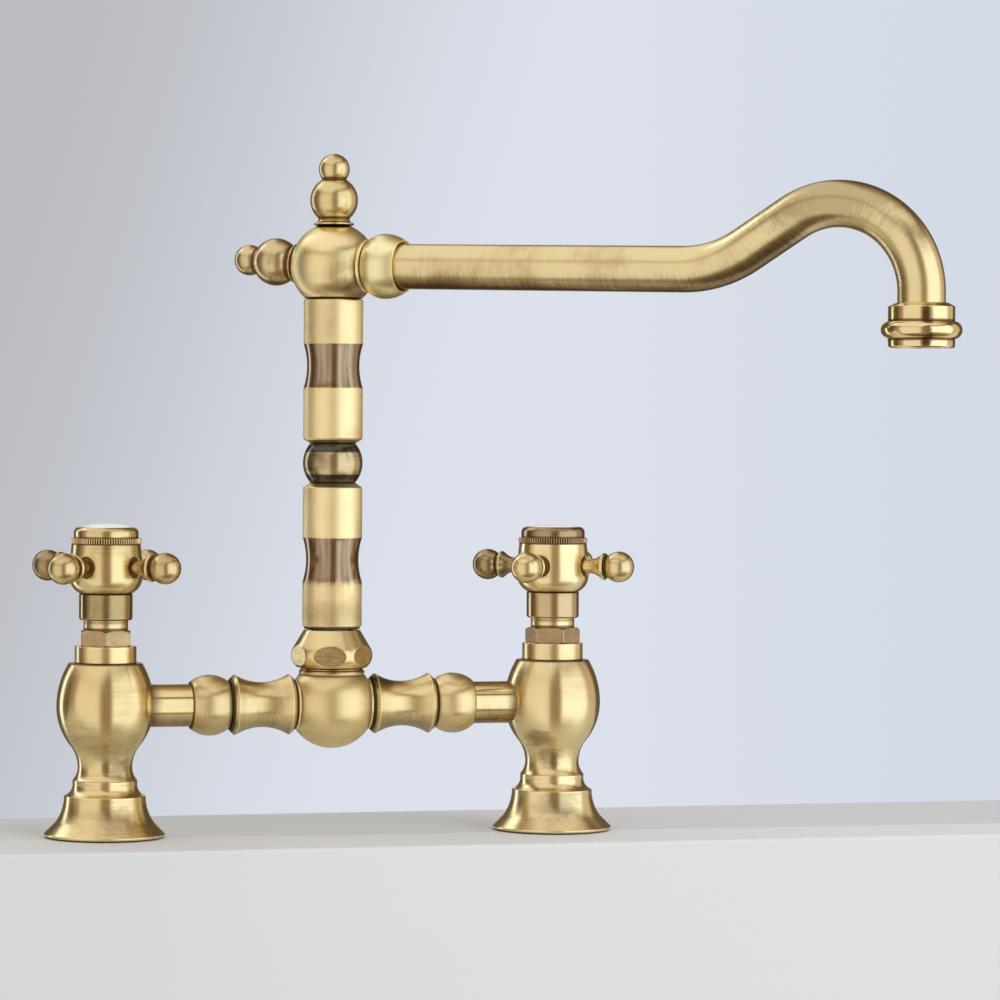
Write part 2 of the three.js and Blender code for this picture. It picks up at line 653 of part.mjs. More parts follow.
// The barrel socket on the head: a ring, a groove, a swelling barrel and an open lip round the spout.
function socketGeometry() {
  const face = head.armSeat + fit;
  const ringEnd = face + socket.ringThickness;
  const crest = [socket.barrelRadius, socket.crestReach];
  return turned([
    [head.bore - 0.8, face],
    [socket.ringRadius, face],
    [socket.ringRadius, ringEnd],
    [socket.ringRadius - 0.9, ringEnd + 0.2],
    ...arch(crest, [socket.ringRadius - 0.2, ringEnd + 0.5], 3).reverse(),
    ...arch(crest, [socket.endRadius, socket.endReach], 3).slice(1),
    [arm.radius + fit, socket.endReach],
    [arm.radius + fit, socket.pipeStop - fit],
    [head.bore - 0.8, socket.pipeStop - fit],
  ]);
}

// The spout's centre line in its own upright plane: straight run, bend up, short rise, crook and drop.
// Its steps are shared out by turning rather than by length, so each leg has its own number of them.
class SpoutLine extends THREE.Curve {
  constructor() {
    super();
    const up = radians(arm.riseAngle);
    const down = up + Math.PI / 2 - radians(arm.fall);
    this.legs = [
      { steps: 1, length: arm.straight - socket.pipeStop, turn: 0 },
      { steps: 3, length: arm.riseRadius * up, turn: up },
      { steps: 1, length: arm.riseRun, turn: 0 },
      { steps: 8, length: arm.crookRadius * down, turn: -down },
      { steps: 1, length: arm.drop, turn: 0 },
    ];
    let point = new THREE.Vector3(socket.pipeStop, 0, 0);
    let heading = 0;
    for (const leg of this.legs) {
      Object.assign(leg, { start: point, heading });
      point = SpoutLine.along(leg, 1);
      heading += leg.turn;
    }
    this.steps = this.legs.reduce((sum, leg) => sum + leg.steps, 0);
    this.end = point;
  }

  static along({ start, heading, length, turn }, share) {
    const chord = turn ? ((2 * length) / turn) * Math.sin((turn * share) / 2) : length * share;
    const direction = heading + (turn * share) / 2;
    return new THREE.Vector3(Math.cos(direction), 0, Math.sin(direction)).multiplyScalar(chord).add(start);
  }

  getPoint(t) {
    let step = t * this.steps;
    const last = this.legs.at(-1);
    const leg = this.legs.find((each) => step < each.steps || each === last || ((step -= each.steps), false));
    return SpoutLine.along(leg, step / leg.steps);
  }

  getUtoTmapping(u) {
    return u;
  }
}

const spoutLine = new SpoutLine();

function armGeometry() {
  const circle = (radius, sides) => Array.from({ length: sides }, (_, i) => {
    const angle = (i * 2 * Math.PI) / sides;
    return new THREE.Vector2(radius * Math.cos(angle), radius * Math.sin(angle));
  });
  const section = new THREE.Shape(circle(arm.radius, 16));
  section.holes.push(new THREE.Path(circle(arm.bore, 8)));
  return new THREE.ExtrudeGeometry(section, { steps: spoutLine.steps, extrudePath: spoutLine });
}

// The nozzle, drawn about its own axis with height 0 at its mouth.
function nozzleGeometry() {
  const beadBase = nozzle.lowerBand;
  const beadTop = beadBase + nozzle.beadHeight;
  const bandTop = beadTop + nozzle.upperBand;
  const beadMiddle = (beadBase + beadTop) / 2;
  const crest = [nozzle.beadRadius, beadMiddle];
  const top = bandTop + nozzle.shoulder;
  return turned([
    [nozzle.mouthRadius, 0],
    [nozzle.collarRadius - 0.6, 0],
    [nozzle.collarRadius, 0.7],
    [nozzle.collarRadius, beadBase],
    ...arch(crest, [nozzle.collarRadius + 0.4, beadBase + 0.1], 2).reverse(),
    ...arch(crest, [nozzle.collarRadius + 0.4, beadTop - 0.1], 2).slice(1),
    [nozzle.collarRadius, beadTop],
    [nozzle.collarRadius, bandTop],
    [nozzle.neckRadius, top],
    [arm.radius + fit, top],
    [arm.radius + fit, top - nozzle.pipeEntry],
    [arm.bore, top - nozzle.pipeEntry],
    [arm.bore, nozzle.mouthDepth + aerator.height + fit],
    [aerator.radius + fit, nozzle.mouthDepth + aerator.height + fit],
    [aerator.radius + fit, nozzle.mouthDepth],
    [nozzle.mouthRadius, nozzle.mouthDepth],
  ]);
}

// The aerator insert sits above the mouth; its plate is pierced by a ring of holes round a middle one.
function aeratorGeometry() {
  const low = nozzle.mouthDepth + fit / 2;
  const plate = 1.4;
  const wall = 1.2;
  const high = low + aerator.height - fit / 2;
  let body = solid(turned([
    [0, low],
    [aerator.radius, low],
    [aerator.radius, high],
    [aerator.radius - wall, high],
    [aerator.radius - wall, low + plate],
    [0, low + plate],
  ], 12));
  for (let i = 0; i <= aerator.holes; i++) {
    const hole = new THREE.CylinderGeometry(aerator.hole, aerator.hole, 4 * plate, 4).rotateX(Math.PI / 2);
    hole.translate(i ? aerator.holeRing : 0, 0, low).rotateZ((i * 2 * Math.PI) / aerator.holes);
    body = body.subtract(solid(hole));
  }
  return surface(body);
}

function spoutGroup() {
  const group = new THREE.Group();
  group.rotation.z = radians(spoutSwing);
  group.add(
    piece("inner_pipe", innerPipeGeometry(), rawBrass),
    piece("lower_o_ring", oRingGeometry(grooves[0]), rubber),
    piece("upper_o_ring", oRingGeometry(grooves[1]), rubber),
    piece("lower_column_sleeve", sleeveGeometry(columnBase, true), polishedBrass),
    piece("column_ball", columnBallGeometry(), darkBrass),
    piece("upper_column_sleeve", sleeveGeometry(upperBase + sleeve.chamfer, false), polishedBrass),
  );
  const top = new THREE.Group();
  top.position.z = headHeight;
  top.add(piece("spout_head", headGeometry(), brushedBrass));
  const topFinial = piece("top_finial", finialGeometry(), brushedBrass);
  topFinial.position.z = head.finialSeat;
  const tilted = new THREE.Group();
  tilted.rotation.y = radians(arm.fall);
  const rearFinial = piece("rear_finial", finialGeometry(), brushedBrass);
  rearFinial.position.x = -head.rearSeat - fit;
  rearFinial.rotation.y = -Math.PI / 2;
  const lifted = new THREE.Group();
  lifted.rotation.y = radians(head.rearLift);
  lifted.add(rearFinial);
  tilted.add(
    lifted,
    piece("spout_socket", alongX(socketGeometry()), brushedBrass),
    piece("spout_pipe", armGeometry(), brushedBrass),
  );
  const outlet = new THREE.Group();
  const nozzleHeight = nozzle.lowerBand + nozzle.beadHeight + nozzle.upperBand + nozzle.shoulder;
  outlet.position.copy(spoutLine.end).applyAxisAngle(new THREE.Vector3(0, 1, 0), radians(arm.fall));
  outlet.position.z -= nozzleHeight - nozzle.pipeEntry + fit;
  outlet.add(piece("outlet_nozzle", nozzleGeometry(), brushedBrass), piece("aerator", aeratorGeometry(), nylon));
  top.add(topFinial, tilted, outlet);
  group.add(top);
  return group;
}

// ---------------------------------------------------------------- assembly
const glideLow = flangeBase + pipe.flangeThickness + play;
const faucet = new THREE.Group();
faucet.add(
  pillarGroup(-1, "left"),
  pillarGroup(1, "right"),
  bridgeGroup(-1, "left"),
  bridgeGroup(1, "right"),
  piece("centre_body", centreGeometry(), brushedBrass),
  piece("union_nut", unionNutGeometry(), brushedBrass),
  piece("glide_washer", ring(centre.neckRadius, pipe.radius + play, glideLow, glideLow + glideThickness, 12), nylon),
  spoutGroup(),
  handleGroup(-1, "hot"),
  handleGroup(1, "cold"),
);

export default faucet;
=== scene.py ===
import math

import bpy
import numpy as np
from mathutils import Matrix, Vector


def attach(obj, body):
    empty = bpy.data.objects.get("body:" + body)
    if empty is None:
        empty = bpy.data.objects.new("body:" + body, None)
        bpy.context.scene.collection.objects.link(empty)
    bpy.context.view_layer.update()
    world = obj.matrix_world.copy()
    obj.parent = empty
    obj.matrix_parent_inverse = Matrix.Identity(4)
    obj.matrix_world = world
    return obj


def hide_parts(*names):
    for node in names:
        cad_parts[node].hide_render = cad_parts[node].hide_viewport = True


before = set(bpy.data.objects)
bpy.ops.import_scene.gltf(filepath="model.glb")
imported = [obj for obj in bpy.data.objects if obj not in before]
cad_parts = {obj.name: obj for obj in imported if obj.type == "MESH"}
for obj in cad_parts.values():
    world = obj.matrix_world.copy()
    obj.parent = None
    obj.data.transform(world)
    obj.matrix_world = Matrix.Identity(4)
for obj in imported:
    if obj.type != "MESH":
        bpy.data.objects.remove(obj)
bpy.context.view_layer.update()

MM = 0.001

# ------------------------------------------------------------------ sizes, in millimetres
# Heights, from the worktop's upper face.
SPACING = 180.0  # between the pillars' axes
BRIDGE = 50.8
PILLAR_FOOT, PILLAR_TOP = 22.2, BRIDGE + 16.8
HEX_LOW, HEX_HIGH = PILLAR_TOP + 6.7, PILLAR_TOP + 12.8
SKIRT_LOW = HEX_HIGH + 3.9
HUB_LOW = SKIRT_LOW + 10.2
HUB_TOP = HUB_LOW + 19.4
CAP_TOP = HUB_TOP + 6.45
SPOKE_HEIGHT = HUB_LOW + 10.4
NUT_LOW, NUT_TOP = BRIDGE + 14.2, BRIDGE + 29.2
COLUMN_LOW = NUT_TOP + 1.3
BALL_LOW = COLUMN_LOW + 56.5
BALL_TOP = BALL_LOW + 15.4
COLUMN_TOP = BALL_TOP + 56.5
HEAD = COLUMN_TOP + 13.2
LOWER_WAIST, UPPER_WAIST = COLUMN_LOW + 26.2, BALL_TOP + 30.3
WAIST_REACH = 8.75  # from the middle of a waist to its ends
# Radii, and how far from the head's middle its finials sit.
PIPE, PIPE_BORE = 8.8, 7.5
COLLAR = 12.6
TAIL, TAIL_CLEAR = 10.4, 10.75
SPOOL, BEAD, BEAD_FACE = 11.9, 11.9, 9.1
CENTRE_BALL, CENTRE_COLLAR = 17.3, 12.85
SLEEVE, SLEEVE_WAIST, SLEEVE_BORE, COLUMN_BALL = 11.7, 10.3, 7.8, 11.75
HEAD_BALL, HEAD_SEAT = 17.0, 15.9
HUB, COIN, CAP, INDEX = 14.2, 13.65, 12.6, 9.3
# Hexagons, across their flats, and what repeats.
BONNET_FLATS, BACKNUT_FLATS, UNION_FLATS = 19, 27, 29.2
THREAD_PITCH, THREAD_DEPTH = 1.8, 0.9
COIN_TEETH, SPOKES = 84, 4
# Relief: how wide a ridge or a seam reaches, how deep the painted shade at a seam counts, and the longest step of an
# outline.
RIDGE_WIDTH, SEAM_WIDTH, SEAM_SHADE_DEPTH, LONG_STEP = 0.7, 0.55, 1.4, 0.7
# Angles.
SWING = math.radians(-41)
FALL = math.radians(1.2)
REAR_LIFT = math.radians(3)
HANDLE_TURN = {"hot": math.radians(45), "cold": math.radians(52.5)}
BONNET_TURN = {"left": math.radians(21), "right": math.radians(37)}
UNION_TURN = math.radians(14)


# ------------------------------------------------------------------ outlines
def arch(crest, end, steps=14):
    """Points of the circle that is parallel to the axis at the crest and passes through the end.
    With rise h and inset w its radius is (h^2 + w^2) / 2w."""
    (r0, z0), (r1, z1) = crest, end
    drop, rise = r1 - r0, z1 - z0
    radius = (rise**2 + drop**2) / (2 * abs(drop))
    angle = np.linspace(0, math.atan2(abs(rise), radius - abs(drop)), steps + 1)
    r = r0 + math.copysign(radius, drop) * (1 - np.cos(angle))
    z = z0 + math.copysign(radius, rise) * np.sin(angle)
    return np.stack([r, z], 1)


def ball(radius, middle, low, high, steps=36):
    """Points (R cos a, m + R sin a) of a ball's outline between two heights."""
    first, last = (math.asin(np.clip((end - middle) / radius, -1, 1)) for end in (low, high))
    a = np.linspace(first, last, steps + 1)
    return np.stack([np.maximum(radius * np.cos(a), 0), middle + radius * np.sin(a)], 1)


def unit(v):
    return v / np.maximum(np.linalg.norm(v, axis=-1, keepdims=True), 1e-12)


def outline(*runs, fillet=0.3, closed=False, crisp=14, seams=()):
    """Joins runs of [radius, height] points and rounds each corner with a short curve
    (1-t)^2 A + 2t(1-t) P + t^2 C, with extra points on long steps. Returns the points, the outward normals, the
    length along the outline and the relief: the turning of the corners spread over a millimetre, positive on ridges,
    negative in grooves, and pressed down at the seams, the heights where another piece begins, as painted shade
    between the pieces."""
    p = np.concatenate([np.atleast_2d(np.asarray(run, float)) for run in runs])
    apart = np.hypot(*(np.roll(p, -1, 0) - p).T) > 1e-4
    apart[-1] = True if not closed else apart[-1]
    p = p[apart]
    if closed:
        before, after = p - np.roll(p, 1, 0), np.roll(p, -1, 0) - p
    else:
        step = p[1:] - p[:-1]
        before, after = np.vstack([step[:1], step]), np.vstack([step, step[-1:]])
    into, out = unit(before), unit(after)
    turn = np.arctan2(into[:, 0] * out[:, 1] - into[:, 1] * out[:, 0], (into * out).sum(1))
    room = np.minimum(np.linalg.norm(before, axis=1), np.linalg.norm(after, axis=1))
    cut = np.where(np.abs(turn) > math.radians(crisp), np.minimum(fillet, 0.45 * room), 0)
    t = np.linspace(0, 1, 7)[None, :, None]
    near, far = p - cut[:, None] * into, p + cut[:, None] * out
    curve = (1 - t) ** 2 * near[:, None] + 2 * t * (1 - t) * p[:, None] + t**2 * far[:, None]
    along = unit((1 - t) * into[:, None] + t * out[:, None])
    kept = (cut[:, None] > 0) | (np.arange(7)[None] == 3)
    points, along = curve[kept], along[kept]
    length = np.concatenate([[0], np.cumsum(np.hypot(*(points[1:] - points[:-1]).T))])
    corner = (np.cumsum(kept.sum(1)) - 1 - kept.sum(1) // 2)[cut > 0]
    share = np.linspace(0, 1, 9)[:-1]
    finer = np.where(np.diff(length)[:, None] > LONG_STEP, True, share[None] == 0)
    fine = np.append((length[:-1, None] + np.diff(length)[:, None] * share)[finer], length[-1])
    points, along = (np.stack([np.interp(fine, length, v) for v in values.T], 1) for values in (points, along))
    along = unit(along)
    relief_and_seam_shade = (turn[cut > 0] * np.exp(-(((fine[:, None] - length[corner]) / RIDGE_WIDTH) ** 2))).sum(1)
    if len(seams):
        # Painted shade between pieces: at each seam the relief is pressed down, so the finish draws it dark.
        painted_seam_shade = np.exp(-(((points[:, 1:] - np.array(seams)) / SEAM_WIDTH) ** 2)).max(1)
        relief_and_seam_shade = relief_and_seam_shade * (1 - painted_seam_shade) - SEAM_SHADE_DEPTH * painted_seam_shade
    normal = np.stack([along[:, 1], -along[:, 0]], 1)
    return {"p": points, "n": normal, "s": fine, "relief_and_seam_shade": relief_and_seam_shade, "closed": closed}


# ------------------------------------------------------------------ surfaces
def axis_at(origin, direction=(0, 0, 1), start=None):
    """An axis: its origin in mm, and the unit vectors U, V and A. A lies along it, and U is the start made square
    to A."""
    a = np.array(Vector(direction).normalized())
    if start is None:
        start = (1, 0, 0) if abs(a[2]) > 0.7 else (0, 0, 1)
    u = np.array(start, float)
    u = unit(u - a * (u @ a))
    return np.array(origin, float), u, np.cross(a, u), a


def turned(line, axis, sides=96, flats=None, ripple=None, dimples=None, follow=None):
    """A surface of revolution: O + r cos(q) U + r sin(q) V + h A over angle q and outline (r, h).
    flats (apothem, turn, count) limits r to apothem / cos(q - nearest flat), softened along the edge.
    ripple (count, depth, low, high) takes a triangle wave off r between two heights.
    dimples (count, height, radius, depth) sinks a round socket about each of some cross axes."""
    o, u, v, a = axis
    q = np.arange(sides) * 2 * math.pi / sides
    r, h = np.repeat(line["p"][:, :1], sides, 1), np.repeat(line["p"][:, 1:], sides, 1)
    facet, sunk, teeth = np.zeros_like(r), np.zeros_like(r), np.zeros_like(r)
    if flats:
        apothem, turn, count = flats
        off = (q - turn + math.pi / count) % (2 * math.pi / count) - math.pi / count
        limit = apothem / np.cos(off)[None]
        soft = 0.22
        blend = np.clip(0.5 + 0.5 * (limit - r) / soft, 0, 1)
        facet = 1 - blend
        r = np.where(r > 0.5, limit * (1 - blend) + r * blend - soft * blend * (1 - blend), r)
    if ripple:
        count, depth, low, high = ripple
        wave = np.abs((q * count / (2 * math.pi)) % 1 * 2 - 1)[None]
        inside = (h > low) & (h < high) & (r > line["p"][:, 0].max() - 0.35)
        cut = inside * np.clip(1.6 * wave - 0.3, 0, 1)
        r, teeth = r - depth * cut, inside * (0.9 - 3.0 * cut)
    if dimples:
        count, height, radius, depth = dimples
        off = (q + math.pi / count) % (2 * math.pi / count) - math.pi / count
        away = np.hypot(r * np.sin(off)[None], h - height)
        sink = (1 - np.clip((away - radius + 0.3) / 0.45, 0, 1)) * (r > 10)
        r, sunk = r - depth * sink * sink * (3 - 2 * sink), sunk + sink
    radial = np.cos(q)[:, None] * u + np.sin(q)[:, None] * v
    co = o + r[..., None] * radial + h[..., None] * a
    no = line["n"][:, :1, None] * radial[None] + line["n"][:, 1:, None] * a
    if flats or ripple or dimples:
        around = np.roll(co, -1, 1) - np.roll(co, 1, 1)
        along = np.roll(co, -1, 0) - np.roll(co, 1, 0) if line["closed"] else np.gradient(co, axis=0)
        no = unit(np.cross(around, along))
    s = np.repeat(line["s"][:, None], sides, 1)
    grain = np.stack([np.broadcast_to(np.cos(q), r.shape), np.broadcast_to(np.sin(q), r.shape), s], -1)
    if follow is not None:
        grain = brushed_about(co, follow)
    relief_and_seam_shade = np.where(teeth == 0, np.repeat(line["relief_and_seam_shade"][:, None], sides, 1) - sunk, teeth)
    poles = (not line["closed"] and line["p"][0, 0] < 1e-6, not line["closed"] and line["p"][-1, 0] < 1e-6)
    return {
        "co": co, "no": no, "grain": grain, "relief_and_seam_shade": relief_and_seam_shade, "facet": facet,
        "closed": line["closed"], "poles": poles,
    }


def brushed_about(co, axis):
    """The brushing of a shape that is polished round another axis: (cos, sin, distance along) about it."""
    o, u, v, a = axis
    d = co - o
    x, y = d @ u, d @ v
    r = np.maximum(np.hypot(x, y), 1e-6)
    return np.stack([x / r, y / r, d @ a], -1)


def swept(path, side, radius, inner, sides=64):
    """A tube along a flat path: P(t) + R (cos q N + sin q B), with B square to the path's plane. The wall turns in
    at both ends to the inner radius and comes back."""
    step = np.gradient(path, axis=0)
    t = unit(step)
    b = np.broadcast_to(np.asarray(side, float), path.shape)
    n = np.cross(b, t)
    q = np.arange(sides) * 2 * math.pi / sides
    ring = np.cos(q)[None, :, None] * n[:, None] + np.sin(q)[None, :, None] * b[:, None]
    outer = path[:, None] + radius * ring
    bore = (path[:, None] + inner * ring)[::-1]
    co = np.concatenate([outer, bore])
    no = np.concatenate([ring, -ring[::-1]])
    length = np.concatenate([[0], np.cumsum(np.linalg.norm(path[1:] - path[:-1], axis=1))])
    s = np.repeat(np.concatenate([length, length[::-1]])[:, None], sides, 1)
    grain = np.stack([np.broadcast_to(-np.cos(q), s.shape), np.broadcast_to(np.sin(q), s.shape), s], -1)
    zero = np.zeros_like(s)
    return {
        "co": co, "no": no, "grain": grain, "relief_and_seam_shade": zero, "facet": zero, "closed": True, "poles": (False, False),
    }


def piece(name, shells, finish, body, *nodes, slot="brushed_brass"):
    """Puts one or more closed surfaces into a mesh, with their normals, grain, relief and facets as attributes, and
    gives it its body and the nodes that it replaces. The slot is not used."""
    co, no, grain, relief_and_seam_shade, facet, faces, count = [], [], [], [], [], [], 0
    for shell in shells:
        rows, wide = shell["co"].shape[:2]
        first, last = shell["poles"]
        take = np.ones((rows, wide), bool)
        if first:
            take[0, 1:] = False
        if last:
            take[-1, 1:] = False
        number = count + np.cumsum(take.ravel()).reshape(rows, wide) - 1
        if first:
            number[0] = count
        if last:
            number[-1] = number[-1, 0]
        above = np.roll(number, -1, 0) if shell["closed"] else number[1:]
        below = number if shell["closed"] else number[:-1]
        quads = np.stack([below, np.roll(below, -1, 1), np.roll(above, -1, 1), above], -1)
        middle = quads[(1 if first else 0) : (len(quads) - 1 if last else len(quads))]
        faces += middle.reshape(-1, 4).tolist()
        if first:
            faces += quads[0][:, [0, 2, 3]].tolist()
        if last:
            faces += quads[-1][:, [0, 1, 2]].tolist()
        for store, key in ((co, "co"), (no, "no"), (grain, "grain"), (relief_and_seam_shade, "relief_and_seam_shade"), (facet, "facet")):
            store.append(shell[key][take])
        count += int(take.sum())
    mesh = bpy.data.meshes.new(name)
    mesh.from_pydata((np.concatenate(co) * MM).tolist(), [], faces)
    mesh.polygons.foreach_set("use_smooth", np.ones(len(mesh.polygons), bool))
    mesh.attributes.new("grain", "FLOAT_VECTOR", "POINT").data.foreach_set("vector", np.concatenate(grain).ravel())
    mesh.attributes.new("relief_and_seam_shade", "FLOAT", "POINT").data.foreach_set("value", np.concatenate(relief_and_seam_shade).ravel())
    mesh.attributes.new("facet", "FLOAT", "POINT").data.foreach_set("value", np.concatenate(facet).ravel())
    mesh.materials.append(finish)
    mesh.normals_split_custom_set_from_vertices(np.concatenate(no))
    mesh.update()
    made = bpy.data.objects.new(name, mesh)
    bpy.context.scene.collection.objects.link(made)
    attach(made, body)
    if nodes:
        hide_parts(*nodes)


# ------------------------------------------------------------------ finishes
class Wire:
    """A number on its way through a material; an expression on it adds the Math nodes."""

    def __init__(self, tree, socket):
        self.tree, self.socket = tree, socket

    def _math(self, operation, *values):
        node = self.tree.nodes.new("ShaderNodeMath")
        node.operation = operation
        for slot, value in zip(node.inputs, values):
            if isinstance(value, Wire):
                self.tree.links.new(value.socket, slot)
            else:
                slot.default_value = value
        return Wire(self.tree, node.outputs[0])

    def __add__(self, other):
        return self._math("ADD", self, other)

    __radd__ = __add__

    def __mul__(self, other):
        return self._math("MULTIPLY", self, other)

    __rmul__ = __mul__

    def __sub__(self, other):
        return self._math("SUBTRACT", self, other)

    def __rsub__(self, other):
        return self._math("SUBTRACT", other, self)

    def __abs__(self):
        return self._math("ABSOLUTE", self)

    def most(self, other):
        return self._math("MAXIMUM", self, other)

    def least(self, other):
        return self._math("MINIMUM", self, other)


class Bench:
    """Makes and links the nodes of one node tree."""

    def __init__(self, tree):
        self.tree = tree

    def node(self, kind, settings=None, **sockets):
        node = self.tree.nodes.new("ShaderNode" + kind)
        for key, value in (settings or {}).items():
            setattr(node, key, value)
        for key, value in sockets.items():
            self.put(node.inputs[key.replace("_", " ")], value)
        return node

    def put(self, slot, value):
        value = value.socket if isinstance(value, Wire) else value
        if isinstance(value, bpy.types.NodeSocket):
            self.tree.links.new(value, slot)
        else:
            slot.default_value = value

    def attribute(self, name):
        return self.node("Attribute", {"attribute_name": name})

    def parts(self, vector):
        """The three coordinates of a vector."""
        return [Wire(self.tree, part) for part in self.node("SeparateXYZ", Vector=vector).outputs]

    def spread(self, vector, stretch):
        """The vector with each part multiplied by the stretch."""
        node = self.tree.nodes.new("ShaderNodeVectorMath")
        node.operation = "MULTIPLY"
        self.tree.links.new(vector, node.inputs[0])
        node.inputs[1].default_value = stretch
        return node.outputs[0]

    def away(self, place, middle, size):
        """Distance from a point in millimetres, as a share of a size along each axis."""
        scaled = self.tree.nodes.new("ShaderNodeVectorMath")
        scaled.operation = "MULTIPLY_ADD"
        self.tree.links.new(place, scaled.inputs[0])
        scaled.inputs[1].default_value = [1 / (v * MM) for v in size]
        scaled.inputs[2].default_value = [-m / v for m, v in zip(middle, size)]
        length = self.tree.nodes.new("ShaderNodeVectorMath")
        length.operation = "LENGTH"
        self.tree.links.new(scaled.outputs[0], length.inputs[0])
        return Wire(self.tree, length.outputs["Value"])

    def noise(self, vector, stretch, detail=2.0, rough=0.5):
        node = self.node("TexNoise", Vector=self.spread(vector, stretch), Scale=1.0, Detail=detail, Roughness=rough)
        return Wire(self.tree, node.outputs[0])

    def ease(self, value, low, high):
        """Smooth step of a number, from 0 at the one level to 1 at the other."""
        step = {"interpolation_type": "SMOOTHSTEP"}
        node = self.node("MapRange", step, Value=value, From_Min=low, From_Max=high, To_Min=0.0, To_Max=1.0)
        return Wire(self.tree, node.outputs[0])

    def blend(self, mask, first, second):
        """first where the mask is 0, second where it is 1."""
        node = self.tree.nodes.new("ShaderNodeMix")
        node.data_type = "RGBA"
        self.put(node.inputs[0], mask)
        self.put(node.inputs[6], first)
        self.put(node.inputs[7], second)
        return node.outputs[2]


class Finish(Bench):
    """A procedural finish on a Principled shader."""

    def __init__(self, name, **constants):
        self.material = bpy.data.materials.new(name)
        self.material.use_nodes = True
        super().__init__(self.material.node_tree)
        self.shader = self.tree.nodes["Principled BSDF"]
        for key, value in constants.items():
            self.shader.inputs[key.replace("_", " ")].default_value = value

    def bump(self, height, distance):
        node = self.node("Bump", Height=height, Distance=distance, Strength=1.0)
        self.put(self.shader.inputs["Normal"], node.outputs[0])


def rgb(r, g, b):
    """A colour as seen on screen, 0 to 255, as the linear light that a shader takes."""
    c = np.array([r, g, b]) / 255
    return (*np.where(c <= 0.04045, c / 12.92, ((c + 0.055) / 1.055) ** 2.4), 1.0)


PALE = rgb(248, 228, 172)
LIGHT = rgb(234, 210, 150)
BRONZE = rgb(166, 134, 88)
UMBER = rgb(104, 76, 46)
SOOT = rgb(52, 44, 34)

# How often the noises that are fixed to the place repeat, in waves a metre.
CLOUD, PATCH, SCRATCH = (38, 38, 55), (150, 150, 190), (260, 260, 1900)
# Where the paler right end begins and is reached, in metres from the middle.
PALE_FROM, PALE_AT = 0.03, 0.09
# Where the painted shade on the underside of the spout pipe ends, in millimetres along it.
UNDERSIDE_SHADE_END, UNDERSIDE_SHADE_FULL = 200, 165


